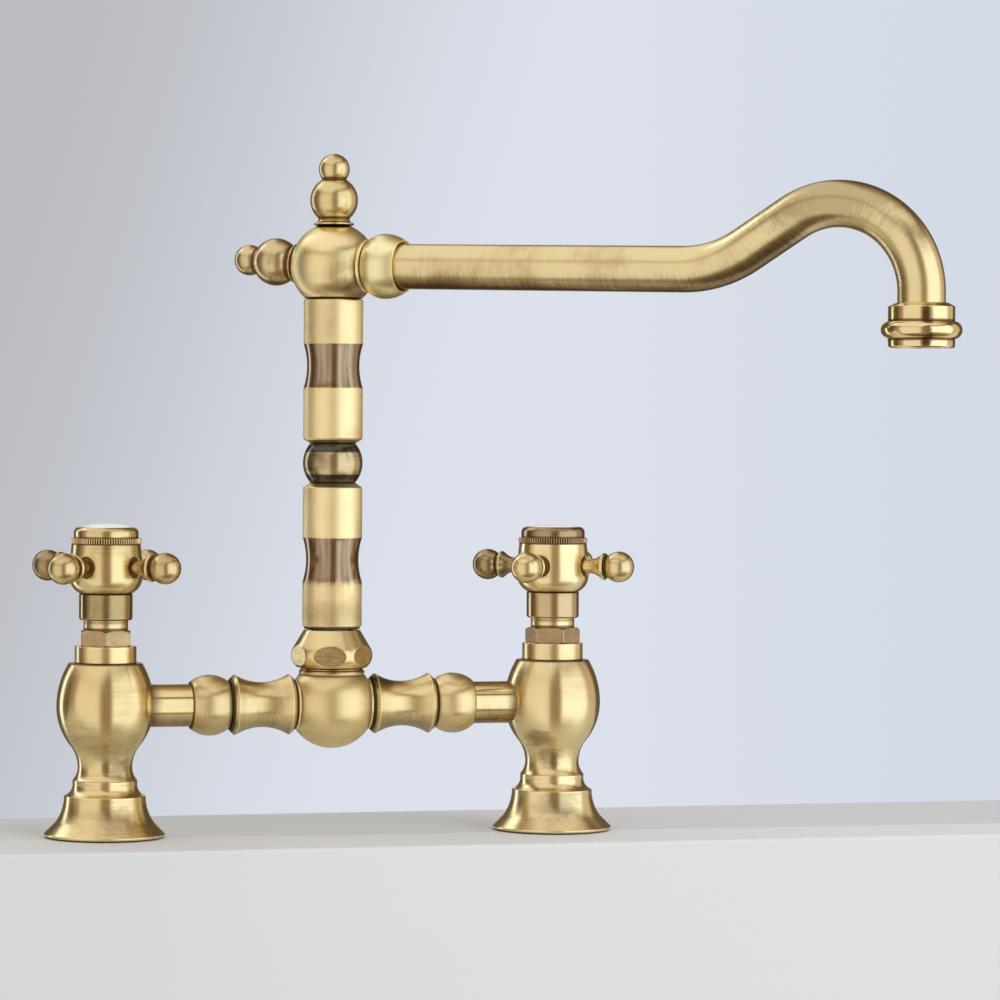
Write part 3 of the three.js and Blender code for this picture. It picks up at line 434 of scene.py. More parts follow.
def brushed(
    name, light=LIGHT, dark=BRONZE, smudge=0.5, rough=0.26, lines=1.0, along=False, bands=(), facets=None, stain_and_shade_colour=UMBER,
    upright=0.0, level=0.0, under=0.0, stains_and_dark_reflection=(), pale=0.4,
):
    """Brass brushed round its axis, or along it: fine lines and broad streaks of the grain, large smudges of patina,
    dark grooves and worn ridges by the relief, with painted shade at the seams between pieces. bands (low, high,
    fade, colour, roughness) tint rings between two heights, the lower edge drawn out by the fade. upright and level
    draw the gloss out up and down, or sideways.
    under is the strength of painted shade on the underside of a lying piece, and stains (middle, size, strength) are
    brown marks, save the narrow stripe on the outlet's front, which is a painted dark reflection. facets (colour,
    contrast) is the finish of the cut flats, whose corners keep the brushed colour as a painted highlight. pale
    lightens the brass towards the right end, as in the photograph."""
    f = Finish(name, Metallic=1.0, Anisotropic=max(upright, level), Anisotropic_Rotation=0.25 if upright else 0.0)
    grain = f.attribute("grain").outputs["Vector"]
    place = f.node("TexCoord").outputs["Object"]
    across, _, height = f.parts(place)
    relief_and_seam_shade = Wire(f.tree, f.attribute("relief_and_seam_shade").outputs["Fac"])
    if along:
        fine = f.noise(grain, (26, 26, 0.02), 3, 0.6)
        broad = f.noise(grain, (5.5, 5.5, 0.035), 2, 0.5)
        score = f.noise(grain, (15, 15, 0.03), 3, 0.6)
    else:
        fine = f.noise(grain, (0.8, 0.8, 3.6), 3, 0.6)
        broad = f.noise(grain, (0.9, 0.9, 0.5), 2, 0.5)
        score = f.noise(grain, (0.8, 0.8, 1.3), 3, 0.65)
    cloud = f.noise(place, CLOUD, 3, 0.55)
    patch = f.noise(place, PATCH, 3, 0.6)
    tone = f.ease(cloud * 0.75 + broad * 0.2 + fine * 0.15, 0.5, 0.76)
    colour = f.blend(tone * smudge, light, dark)
    marks = f.ease(score, 0.5, 0.72) * f.ease(cloud, 0.42, 0.66) * (0.4 * lines)
    colour = f.blend(marks.least(1.0), colour, dark)
    colour = f.blend(f.ease(across, PALE_FROM, PALE_AT) * pale, colour, PALE)
    # One mask for the dark colour: brown stains, and painted shade on the underside of lying pieces.
    stain_and_shade_mask = relief_and_seam_shade * 0.0
    for middle, size, strength in stains_and_dark_reflection:
        reach = f.away(place, middle, size) + (patch - 0.5) * 1.5 + (score - 0.5) * 1.0
        stain_and_shade_mask = stain_and_shade_mask.most(f.ease(reach, 1.25, 0.45) * strength)
    # Painted shade on the underside of a lying piece, broken up by noise.
    if under:
        upward, _, length = f.parts(grain)
        below = upward * -1 * f.ease(length, UNDERSIDE_SHADE_END, UNDERSIDE_SHADE_FULL)
        stain_and_shade_mask = stain_and_shade_mask.most(f.ease(below + (cloud - 0.5) * 0.7 + (score - 0.5) * 0.7, 0.15, 1.0) * under)
    colour = f.blend(stain_and_shade_mask, colour, stain_and_shade_colour)
    colour = f.blend(f.ease(relief_and_seam_shade, 0.35, 1.1) * 0.6, colour, PALE)
    # Dark grooves and, at the seams, painted shade between pieces.
    groove_and_seam_shade = f.ease(relief_and_seam_shade * -1 + (patch - 0.5) * 0.35, 0.1, 0.9)
    colour = f.blend(groove_and_seam_shade * 0.9, colour, stain_and_shade_colour)
    gloss = rough + (fine - 0.5) * 0.12 * lines + (cloud - 0.5) * 0.1 + groove_and_seam_shade * 0.15
    for low, high, fade, tint, dull in bands:
        ragged = (patch - 0.5) * 0.3 * MM
        foot = f.ease(height + (ragged + (broad - 0.5) * fade * MM), (low - 0.2) * MM, (low + fade + 0.3) * MM)
        inside = foot * f.ease(height + ragged, (high + 0.2) * MM, (high - 0.3) * MM)
        streak = f.ease(broad + fine * 0.5, 0.55, 1.0)
        colour = f.blend(inside, colour, f.blend(streak, tint, f.blend(0.45, tint, SOOT)))
        gloss = gloss * (1 - inside) + inside * dull
    if facets:
        # The flats take their own tint; where two flats meet (facet near a half) the brushed colour stays, a painted
        # highlight along each corner.
        cut = f.ease(Wire(f.tree, f.attribute("facet").outputs["Fac"]), 0.45, 0.75)
        scratch = f.noise(place, SCRATCH, 3, 0.6)
        tint, contrast = facets
        shade = (f.ease(scratch, 0.3, 0.75) * contrast + (patch - 0.5) * 1.2 + 0.3).least(1.0).most(0.0)
        flat = f.blend(shade, f.blend(0.3, tint, UMBER), f.blend(0.35, tint, PALE))
        colour = f.blend(cut, colour, flat)
        gloss = gloss + cut * 0.07
    f.put(f.shader.inputs["Base Color"], colour)
    f.put(f.shader.inputs["Roughness"], gloss)
    f.bump(fine * lines + patch * 0.15, (0.02 * lines + 0.004) * MM)
    return f.material


def plain(name, light, dark, rough, metal=0.0, grit=400, shine=0.5, bump=0.02):
    """A plain finish with a cloudy variation of colour and gloss. grit is in waves a metre, bump in millimetres."""
    f = Finish(name, Metallic=metal, Specular_IOR_Level=shine)
    place = f.node("TexCoord").outputs["Object"]
    coarse = f.noise(place, (grit * 0.2,) * 3, 3, 0.6)
    small = f.noise(place, (grit,) * 3, 3, 0.6)
    f.put(f.shader.inputs["Base Color"], f.blend(f.ease(coarse, 0.35, 0.7), light, dark))
    f.put(f.shader.inputs["Roughness"], rough + (small - 0.5) * 0.12)
    f.bump(small, bump * MM)
    return f.material


bridge_brass = brushed("bridge_pipe_brass", smudge=0.3, rough=0.15, lines=0.3, under=0.8, level=0.5, pale=0.65)
bead_brass = brushed("bead_brass", smudge=0.25, rough=0.3, lines=0.35, under=0.25, level=0.8, pale=0.9)
centre_brass = brushed(
    "centre_brass", smudge=0.35, lines=0.5, rough=0.36, level=0.5,
    bands=[(BRIDGE + 12.4, BRIDGE + 15, 0.2, rgb(204, 166, 112), 0.22)],
)
hub_brass = brushed("hub_brass", upright=0.7, smudge=0.45, lines=0.7, pale=0.85)
bell_brass = brushed(
    "bell_brass", smudge=0.7, lines=0.8, pale=0.75, upright=0.75,
    stains_and_dark_reflection=[((-88, -19, 9), (9, 9, 6), 0.4), ((88, -18, 12), (10, 9, 7), 0.4)],
)
pillar_brass = brushed(
    "pillar_brass", smudge=0.5, upright=0.8, lines=0.75,
    stains_and_dark_reflection=[
        ((-85.5, -11.5, 27.5), (7, 8, 4), 0.6), ((-93, -14, 37), (14, 10, 8), 0.25),
        ((80, -11, 37), (7, 7, 4), 0.6), ((86, -12, 30), (5, 7, 5), 0.55),
    ],
)
spool_brass = brushed(
    "spool_brass", smudge=0.4, stain_and_shade_colour=SOOT, under=0.5, lines=0.55, level=0.65, rough=0.28,
    stains_and_dark_reflection=[((20, -8, BRIDGE + 9), (5, 8, 4), 0.6), ((33, -6, BRIDGE - 9), (9, 6, 3), 0.45)],
)
nut_brass = brushed("nut_brass", smudge=0.3, facets=(rgb(192, 164, 108), 1.0), upright=0.6, lines=0.4)
hex_brass = brushed("hexagon_brass", facets=(rgb(178, 148, 106), 0.2), lines=0.7)
cap_bronze = brushed("cap_bronze", light=rgb(182, 152, 114), dark=rgb(112, 90, 66), upright=0.6, pale=0.0)
skirt_bronze = brushed(
    "skirt_bronze", light=rgb(206, 180, 134), dark=rgb(130, 104, 70), smudge=0.6, lines=1.2, upright=0.8, pale=0.0,
)
skirt_brass = brushed(
    "skirt_brass", light=rgb(178, 154, 106), dark=rgb(96, 76, 46), smudge=0.6, lines=1.8, upright=0.8, rough=0.2,
)
sphere_brass = brushed(
    "sphere_brass", light=rgb(246, 224, 164), smudge=0.6, level=0.8, rough=0.3,
    stains_and_dark_reflection=[((9, -13, HEAD - 8), (8, 8, 8), 0.6)],
)
socket_brass = brushed("socket_brass", light=rgb(255, 243, 184), smudge=0.1, level=0.5, lines=0.3, rough=0.34)
pipe_brass = brushed(
    "pipe_brass", light=rgb(230, 210, 154), smudge=0.5, lines=0.7, under=0.8, pale=0.12,
    stains_and_dark_reflection=[((159, -138, 246), (40, 36, 16), 0.4)],
)
outlet_brass = brushed(
    "outlet_brass", smudge=0.4, rough=0.15, lines=0.3, upright=0.5,
    # This mark is a painted dark reflection: a narrow upright stripe on the outlet's front, where it faces the
    # camera.
    stains_and_dark_reflection=[((181.5, -171.8, 197), (2.2, 3, 14), 0.85)],
)
finial_brass = brushed("finial_brass", light=rgb(226, 203, 145), smudge=0.6, rough=0.27, lines=0.2)
spoke_brass = brushed(
    "spoke_brass", light=rgb(216, 193, 137), dark=rgb(140, 112, 72), smudge=0.7, rough=0.27, lines=0.2,
)
# A darker copy of the spoke brass for the far spoke of each handle: painted shade.
shaded_far_brass = brushed(
    "shaded_far_spoke_brass", light=rgb(172, 148, 106), dark=rgb(84, 66, 44), smudge=1.0, rough=0.27, lines=0.25, pale=0.0,
)
rear_brass = brushed(
    "rear_finial_brass", light=rgb(218, 196, 144), dark=rgb(128, 106, 72), smudge=0.9, rough=0.27, lines=0.25,
)
lower_column = brushed(
    "lower_column_brass", light=rgb(255, 234, 174), dark=rgb(220, 174, 110), smudge=0.55, rough=0.34, along=True,
    level=0.8,
    bands=[
        (COLUMN_LOW + 15.8, COLUMN_LOW + 34.9, 3.2, rgb(180, 154, 124), 0.14),
        # Near black on the ring under the sleeve: painted shadow in the gap above the union nut.
        (COLUMN_LOW - 2, COLUMN_LOW - 0.1, 0.1, rgb(44, 38, 30), 0.5),
    ],
    stains_and_dark_reflection=[((0, -10, COLUMN_LOW + 4), (16, 12, 7), 0.3)],
)
upper_column = brushed(
    "upper_column_brass", light=rgb(255, 233, 172), dark=rgb(216, 176, 112), smudge=0.6, rough=0.34, along=True,
    level=0.8,
    bands=[(BALL_TOP + 21.6, BALL_TOP + 39.1, 0.3, rgb(182, 158, 126), 0.14)],
    stains_and_dark_reflection=[((-7, -10, COLUMN_TOP - 8), (6, 8, 14), 0.2)],
)
ball_bronze = brushed(
    "column_ball_bronze", light=rgb(206, 184, 136), dark=rgb(104, 90, 66), smudge=0.8, rough=0.24, stain_and_shade_colour=SOOT,
    upright=0.5,
    bands=[
        (BALL_LOW - 1, BALL_LOW + 3.3, 0.2, rgb(92, 88, 74), 0.2),
        (BALL_TOP - 3.6, BALL_TOP + 1, 0.2, rgb(92, 90, 76), 0.2),
    ],
)
raw_brass = plain("machined_brass", rgb(212, 178, 96), rgb(186, 150, 76), 0.35, metal=1.0)
steel = plain("plain_steel", rgb(186, 188, 190), rgb(150, 152, 156), 0.35, metal=1.0)
rubber = plain("black_rubber", rgb(34, 34, 35), rgb(24, 24, 25), 0.75, grit=2500, bump=0.06)
nylon = plain("white_nylon", rgb(226, 224, 216), rgb(210, 208, 198), 0.45, grit=900)
ceramic = plain("valve_ceramic", rgb(238, 234, 226), rgb(228, 222, 212), 0.3, grit=900)
porcelain = plain(
    "white_porcelain", rgb(252, 252, 251), rgb(246, 246, 245), 0.2, grit=120, shine=0.25, bump=0.004,
)


# ------------------------------------------------------------------ pillars and their fixings
def tail(side, label):
    """The inlet tail: a pipe with a spigot at its top and a bore that is wider below, for the hose. Its thread takes
    a triangle wave off the radius, by height over pitch less the angle's share of a turn."""
    hose, spigot, waterway = 7.2, 7, 4.5
    shoulder = -15
    line = outline(
        [[hose, shoulder], [hose, -65], [9.7, -65]],
        np.stack([np.full(400, TAIL), np.linspace(-64.3, 11.5, 400)], 1),
        [[spigot, 12], [spigot, 35], [waterway, 35], [waterway, shoulder]],
        closed=True, fillet=0.2,
    )
    o = np.array([side * SPACING / 2, 0, 0])
    shell = turned(line, axis_at(o), 48)
    d = shell["co"] - o
    r, h = np.hypot(d[..., 0], d[..., 1]), d[..., 2]
    q = np.arctan2(d[..., 1], d[..., 0])
    wave = np.abs(((h / THREAD_PITCH - q / (2 * math.pi)) % 1) * 2 - 1)
    on = (r > TAIL - 0.1) & (h < 11)
    scale = np.where(on, (TAIL - THREAD_DEPTH * wave) / np.maximum(r, 1e-6), 1)
    shell["co"][..., :2] = o[:2] + d[..., :2] * scale[..., None]
    around = np.roll(shell["co"], -1, 1) - np.roll(shell["co"], 1, 1)
    along = np.roll(shell["co"], -1, 0) - np.roll(shell["co"], 1, 0)
    shell["no"] = unit(np.cross(around, along))
    piece(label + "_tail", [shell], raw_brass, "bridge_frame", label + "_inlet_tail", slot="raw_brass")


def pillar_set(side, label):
    """What stands or hangs on one pillar's axis: bell, baluster, bonnet, clamp washer, back nut and tail."""
    axis = axis_at((side * SPACING / 2, 0, 0))
    flare, rim = (19.2, 5.8), 23.6
    seat, hole, shelf = 20.3, 7.3, 12.3
    bell = outline(
        [[seat, 0.3], [22.9, 0.3], [rim, 0.9], [rim, 1.5], flare],
        arch((15.85, 15.9), flare)[::-1],
        [[15.8, 16.2]],
        arch((12.55, 20.5), (15.3, 16.4), 8)[::-1],
        [[COLLAR, 20.9], [COLLAR, PILLAR_FOOT], [hole, PILLAR_FOOT], [hole, shelf], [TAIL_CLEAR, shelf]],
        [[TAIL_CLEAR, 2.0], [seat, 2.0]],
        closed=True, fillet=0.35, seams=[0.2],
    )
    piece(label + "_bell", [turned(bell, axis, 128)], bell_brass, "bridge_frame", label + "_base_bell")
    neck, belly = (10.6, PILLAR_FOOT + 4.9), (19.0, BRIDGE)
    share = 0.64
    bend = (belly[0] + (neck[0] - belly[0]) * share, belly[1] + (neck[1] - belly[1]) * share)
    foot = PILLAR_FOOT + 0.05
    body = outline(
        [[0, foot]],
        arch(neck, (COLLAR, foot), 10)[::-1],
        arch(neck, bend, 14)[1:-1],
        arch(belly, bend, 24)[::-1],
        arch(belly, (14.3, PILLAR_TOP), 24)[1:],
        [[0, PILLAR_TOP]],
        seams=[PILLAR_TOP],
    )
    piece(label + "_baluster", [turned(body, axis, 128)], pillar_brass, "bridge_frame", label + "_pillar")
    turn = BONNET_TURN[label] + math.pi / 6
    shoulder, ring_top = 12.0, HEX_LOW - 0.02
    ring = outline(
        [[0, PILLAR_TOP], [shoulder, PILLAR_TOP], [shoulder, ring_top], [0, ring_top]], fillet=0.35,
        seams=[PILLAR_TOP],
    )
    corner = BONNET_FLATS / math.sqrt(3)
    bar = outline(
        [[0, HEX_LOW], [10.3, HEX_LOW], [corner, HEX_LOW + 0.5]],
        [[corner, HEX_HIGH - 1.0], [9.6, HEX_HIGH], [0, HEX_HIGH]],
        fillet=0.2, seams=[HEX_LOW],
    )
    narrow, low, top = 8.65, HEX_HIGH - 0.3, HEX_HIGH + 12.7
    stem = outline(
        [[0, low], [narrow, low], [narrow, top], [0, top]], fillet=0.3, seams=[HEX_HIGH, SKIRT_LOW - 0.3],
    )
    piece(
        label + "_bonnet",
        [turned(ring, axis, 96), turned(bar, axis, 240, flats=(BONNET_FLATS / 2, turn, 6)), turned(stem, axis, 72)],
        hex_brass, "bridge_frame", label + "_valve_bonnet", slot="dark_brass",
    )
    deck, under, end = -30, -32.5, -40.5
    washer = outline([[TAIL_CLEAR, under], [18, under], [18, deck], [TAIL_CLEAR, deck]], closed=True, fillet=0.3)
    piece(label + "_washer", [turned(washer, axis, 72)], steel, "bridge_frame", label + "_clamp_washer", slot="steel")
    face, wide = 13.4, BACKNUT_FLATS / math.sqrt(3)
    nut = outline(
        [[TAIL_CLEAR, end], [face, end], [wide, end + 1.2], [wide, under - 1.2], [face, under], [TAIL_CLEAR, under]],
        closed=True, fillet=0.2,
    )
    piece(
        label + "_backnut", [turned(nut, axis, 180, flats=(BACKNUT_FLATS / 2, math.pi / 6, 6))], raw_brass,
        "bridge_frame", label + "_back_nut", slot="raw_brass",
    )
    tail(side, label)


# ------------------------------------------------------------------ bridge
def bridge_half(side, label):
    """Pipe, spool and bead on one side, turned about the bridge's axis and counted outwards from the middle."""
    axis = axis_at((0, 0, BRIDGE), (side, 0, 0))
    pipe = outline([[6.2, 10.5], [8.3, 10.5], [8.3, 75.5], [6.2, 75.5]], closed=True, fillet=0.3, seams=[52.5, 75])
    piece(label + "_pipe", [turned(pipe, axis, 96)], bridge_brass, "bridge_frame", label + "_bridge_pipe")
    start, end = 15.3, 41.0
    bore, waist = 8.6, (8.8, (start + end) / 2)
    spool = outline(
        [[bore, start], [9.9, start], [11.4, start + 1.5]],
        arch(waist, (SPOOL, start + 2.0), 16)[::-1],
        arch(waist, (SPOOL, end - 2.0), 16)[1:],
        [[11.4, end - 1.5], [9.9, end], [bore, end]],
        closed=True, fillet=0.35, seams=[start + 0.3, end - 0.3],
    )
    piece(label + "_spool", [turned(spool, axis, 112)], spool_brass, "bridge_frame", label + "_bridge_spool")
    low = end + 0.3
    half = math.sqrt(BEAD**2 - BEAD_FACE**2)
    high = low + 2 * half
    bead = outline(ball(BEAD, low + half, low, high, 30), [[bore, high], [bore, low]], closed=True, seams=[low, high])
    piece(label + "_bead", [turned(bead, axis, 112)], bead_brass, "bridge_frame", label + "_bridge_bead")


def centre_and_nut():
    """The bridge's middle ball with its side bosses, and the union nut: a swell cut by six flats."""
    up = axis_at((0, 0, BRIDGE))
    flat = math.sqrt(CENTRE_BALL**2 - CENTRE_COLLAR**2)
    ball_line = outline(
        ball(CENTRE_BALL, 0, -CENTRE_BALL, flat, 40),
        [[CENTRE_COLLAR, 13.2], [12.2, 13.5], [12.2, 13.9], [12.5, 14.2], [0, 14.2]],
        fillet=0.3, seams=[13.6],
    )
    reach = 15
    boss = outline([[0, -reach], [9.9, -reach], [9.9, reach], [0, reach]], fillet=0.4)
    shells = [turned(ball_line, up, 144), turned(boss, axis_at((0, 0, BRIDGE), (1, 0, 0)), 96)]
    piece("centre_ball", shells, centre_brass, "bridge_frame", "centre_body")
    low, top = NUT_LOW + 0.3, NUT_TOP
    widest, shoulder = (16.0, NUT_LOW + 4.9), (15.1, NUT_LOW + 8.2)
    cone = np.linspace(shoulder, (11.0, top), 20)
    well, hole, lip = 10.4, 7.9, top - 3
    nut = outline(
        [[well, low], [13.9, low]],
        arch(widest, (14.2, NUT_LOW + 0.8), 22)[::-1],
        arch(widest, shoulder, 14)[1:],
        cone[1:],
        [[hole, top], [hole, lip], [well, lip]],
        closed=True, fillet=0.3, crisp=20, seams=[low - 0.2],
    )
    shell = turned(nut, axis_at((0, 0, 0)), 288, flats=(UNION_FLATS / 2, UNION_TURN, 6))
    piece("union_nut_shell", [shell], nut_brass, "bridge_frame", "union_nut")


# ------------------------------------------------------------------ column, head and spout
SPOUT = np.array([math.cos(SWING), math.sin(SWING), 0.0])
SIDE = np.array([-math.sin(SWING), math.cos(SWING), 0.0])
ARM = unit(SPOUT * math.cos(FALL) - np.array([0, 0, 1.0]) * math.sin(FALL))
ARM_UP = unit(SPOUT * math.sin(FALL) + np.array([0, 0, 1.0]) * math.cos(FALL))
HEAD_AT = np.array([0, 0, HEAD])


def sleeve(name, low, high, waist_at, cone_on_top, finish, node):
    """A column sleeve: a tube drawn in to a waist between two bands. Its cone end meets the column's ball, and the
    lower sleeve, with its cone on top, has a ring in the gap below it, painted near black as the shadow in that gap."""
    face = math.sqrt(COLUMN_BALL**2 - 7.7**2)
    if cone_on_top:
        foot = [[SLEEVE_BORE, low], [11.4, low], [SLEEVE, low + 0.4]]
        head = [[SLEEVE, high - 2], [face, high], [SLEEVE_BORE, high]]
    else:
        foot = [[SLEEVE_BORE, low], [face, low], [11.3, low + 1.4], [SLEEVE, low + 2.2]]
        head = [[SLEEVE, high - 0.4], [11.4, high], [SLEEVE_BORE, high]]
    waist = (SLEEVE_WAIST, waist_at)
    line = outline(
        foot, arch(waist, (SLEEVE, waist_at - WAIST_REACH), 12)[::-1],
        arch(waist, (SLEEVE, waist_at + WAIST_REACH), 12)[1:], head,
        closed=True, fillet=0.3, crisp=10, seams=[low - 0.2, high + 0.2],
    )
    shells = [turned(line, axis_at((0, 0, 0)), 144)]
    if cone_on_top:
        # A thin ring in the gap under the lower sleeve, which the finish paints near black as shadow.
        inner, outer, bottom, top = 8.6, 11.0, low - 0.85, low - 0.02
        under = outline([[inner, bottom], [outer, bottom], [outer, top], [inner, top]], fillet=0.15, closed=True)
        shells.append(turned(under, axis_at((0, 0, 0)), 144))
    piece(name, shells, finish, "spout", node, slot="polished_brass")


def column():
    sleeve("lower_sleeve", COLUMN_LOW, BALL_LOW, LOWER_WAIST, True, lower_column, "lower_column_sleeve")
    sleeve("upper_sleeve", BALL_TOP, COLUMN_TOP, UPPER_WAIST, False, upper_column, "upper_column_sleeve")
    line = outline(
        ball(COLUMN_BALL, (BALL_LOW + BALL_TOP) / 2, BALL_LOW, BALL_TOP, 30),
        [[SLEEVE_BORE, BALL_TOP], [SLEEVE_BORE, BALL_LOW]], closed=True,
    )
    shell = turned(line, axis_at((0, 0, 0)), 128)
    piece("column_bead", [shell], ball_bronze, "spout", "column_ball", slot="dark_brass")


def finial(name, axis, finish, node):
    """Stud, flared collar, big ball, neck and small ball, as one turning."""
    big, tip, throat, neck = 9.4, 6.1, 6.1, 4.8
    stud, rise, reach = 2.5, 9.9, 22.1
    low = rise - math.sqrt(big**2 - throat**2)
    high = rise + math.sqrt(big**2 - neck**2)
    foot = reach - math.sqrt(tip**2 - neck**2)
    line = outline(
        [[0, -4], [stud, -4], [stud, 0.0], [7.4, 0.0], [7.9, 0.4], [7.9, 0.7]],
        arch((throat, 2.7), (7.6, 1.0), 8)[::-1],
        ball(big, rise, low, high, 40),
        ball(tip, reach, max(foot, high + 0.02), reach + tip, 30),
        fillet=0.25, seams=[0.0, 2.7, high],
    )
    piece(name, [turned(line, axis, 96)], finish, "spout", node)


def head():
    """The head's ball, polished round the spout's line, with its two finials and the barrel socket of the spout."""
    up = axis_at(HEAD_AT)
    foot = -12.9
    line = outline(
        [[0, foot]], ball(HEAD_BALL, 0, foot, HEAD_SEAT, 48), [[0, HEAD_SEAT]],
        fillet=0.3, seams=[foot, HEAD_SEAT - 0.3],
    )
    along = axis_at(HEAD_AT, ARM)
    piece("head_ball", [turned(line, up, 144, follow=along)], sphere_brass, "spout", "spout_head")
    finial("crown_finial", axis_at(HEAD_AT + [0, 0, HEAD_SEAT]), finial_brass, "top_finial")
    back = -SPOUT * math.cos(FALL + REAR_LIFT) + np.array([0, 0, math.sin(FALL + REAR_LIFT)])
    finial("back_finial", axis_at(HEAD_AT + back * HEAD_SEAT, back), rear_brass, "rear_finial")
    face, ring, crest, end = 14.9, 16.2, (12.8, 22.9), 31.0
    hole, well, floor = 5.2, 9.1, 17.7
    socket = outline(
        [[hole, face], [10.5, face], [10.5, ring - 0.1], [9.8, ring + 0.25]],
        arch(crest, (10.1, ring + 0.5), 20)[::-1],
        arch(crest, (10.35, 30.6), 20)[1:],
        [[10.35, end], [9.9, end], [well, 30.2], [well, floor], [hole, floor]],
        closed=True, fillet=0.35,
    )
    piece("arm_socket", [turned(socket, along, 128)], socket_brass, "spout", "spout_socket")


def spout_line(steps=260):
    """The centre line in its own plane, as headings summed along its length: straight, bend up, rise, crook, drop.
    Each leg is a length and its turn, and a bend's length is its radius times its turn."""
    up = math.radians(33)
    down = up + math.pi / 2 - FALL
    start, straight, rise_radius, rise, crook_radius, drop = 18, 149.3, 46, 22, 33, 8.5
    legs = [(straight - start, 0), (rise_radius * up, up), (rise, 0), (crook_radius * down, -down), (drop, 0)]
    ends = np.cumsum([0] + [length for length, _ in legs])
    turns = np.cumsum([0] + [turn for _, turn in legs])
    s = np.unique(np.concatenate([np.linspace(0, ends[-1], steps), ends]))
    heading = np.interp(s, ends, turns)
    middle = (heading[1:] + heading[:-1]) / 2
    ds = np.diff(s)
    x = start + np.concatenate([[0], np.cumsum(ds * np.cos(middle))])
    z = np.concatenate([[0], np.cumsum(ds * np.sin(middle))])
    return HEAD_AT + x[:, None] * ARM + z[:, None] * ARM_UP


def arm():
    """The spout pipe and, round its lower end, the outlet's nozzle, turned upwards from its mouth."""
    path = spout_line()
    piece("arm_pipe", [swept(path, SIDE, PIPE, PIPE_BORE, 80)], pipe_brass, "spout", "spout_pipe")
    at = axis_at(path[-1] - np.array([0, 0, 11.9]))
    crest, collar, mouth, seat, pocket = (14.85, 6.6), 12.2, 9.6, 9.1, 10.3
    nozzle = outline(
        [[mouth, 0], [11.6, 0], [collar, 0.6], [collar, 3.3], [12.5, 3.45]],
        arch(crest, (12.9, 3.55), 14)[::-1],
        arch(crest, (12.9, 9.65), 14)[1:],
        [[collar, 9.8], [collar, 15.2], [mouth, 16.6], [seat, 16.6], [seat, 11.6], [PIPE_BORE, 11.6]],
        [[PIPE_BORE, 10.6], [pocket, 10.6], [pocket, 4.8], [mouth, 4.8]],
        closed=True, fillet=0.3,
    )
    piece("outlet_collar", [turned(nozzle, at, 128)], outlet_brass, "spout", "outlet_nozzle")


# ------------------------------------------------------------------ cross handles
def handle(side, label):
    """One cross handle: hub, skirt, cap ring with its coin edge, index disc and four spokes."""
    body = label + "_handle"
    turn = HANDLE_TURN[label]
    start = (math.cos(turn), math.sin(turn), 0)
    axis = axis_at((side * SPACING / 2, 0, 0), start=start)
    well = 7
    hub = outline(
        [[0, HUB_LOW]],
        arch((HUB, HUB_LOW + 6.5), (10.0, HUB_LOW), 22)[::-1],
        np.linspace((HUB, HUB_LOW + 6.6), (HUB, HUB_LOW + 11), 14),
        np.linspace((HUB, HUB_LOW + 11.3), (13.4, HUB_TOP), 26),
        [[well, HUB_TOP], [well, HUB_TOP - 6], [0, HUB_TOP - 6]],
        fillet=0.35, seams=[HUB_LOW, HUB_TOP],
    )
    shell = turned(hub, axis, 300, dimples=(SPOKES, SPOKE_HEIGHT, 4.15, 0.9))
    piece(label + "_hub", [shell], hub_brass, body, body + "_hub")
    bore, wall, top = 9.0, 10.4, HUB_LOW - 0.1
    skirt = outline(
        [[bore, SKIRT_LOW], [9.9, SKIRT_LOW], [wall, SKIRT_LOW + 0.6], [wall, top], [bore, top]],
        closed=True, fillet=0.3, seams=[SKIRT_LOW, HUB_LOW],
    )
    skin = skirt_brass if side < 0 else skirt_bronze
    piece(label + "_skirt", [turned(skirt, axis, 96)], skin, body, body + "_skirt")
    low = HUB_TOP
    high, seat = low + 2.2, CAP_TOP - 2.6
    coin = outline(
        [[well, low], [13.2, low], [13.62, low + 0.2]],
        np.linspace((COIN, low + 0.3), (COIN, low + 1.9), 6),
        [[13.62, low + 2.0], [13.2, high], [well, high]],
        closed=True, fillet=0.12,
    )
    rim = outline(
        [[well, low], [CAP, low], [CAP, CAP_TOP - 2.2]],
        arch((CAP, CAP_TOP - 2.2), (10.9, CAP_TOP), 8)[1:],
        [[9.75, CAP_TOP], [9.6, CAP_TOP - 0.3], [9.6, seat], [well, seat]],
        closed=True, fillet=0.25, seams=[high],
    )
    cap_finish, cap_slot = (hub_brass, "brushed_brass") if side < 0 else (cap_bronze, "dark_brass")
    milled = turned(coin, axis, COIN_TEETH * 6, ripple=(COIN_TEETH, 0.6, low + 0.1, high - 0.1))
    piece(label + "_cap", [milled, turned(rim, axis, 96)], cap_finish, body, label + "_cap_ring", slot=cap_slot)
    edge = CAP_TOP - 0.2
    swell = np.linspace(0, math.pi / 2, 24)[1:]
    dome = outline(
        [[0, seat], [INDEX, seat], [INDEX, edge]],
        np.stack([INDEX * np.cos(swell), edge + 1.5 * np.sin(swell)], 1),
        fillet=0.2,
    )
    piece(label + "_disc", [turned(dome, axis, 96)], porcelain, body, label + "_index_disc", slot="porcelain")
    line = spoke_line()
    for i in range(SPOKES):
        a = turn + i * 2 * math.pi / SPOKES
        at = axis_at((side * SPACING / 2, 0, SPOKE_HEIGHT), (math.cos(a), math.sin(a), 0))
        # The far spoke takes the darker copy, as painted shade.
        skin = shaded_far_brass if i == 1 else spoke_brass if side < 0 else finial_brass
        piece(f"{label}_arm_{i + 1}", [turned(line, at, 72)], skin, body, f"{label}_spoke_{i + 1}")


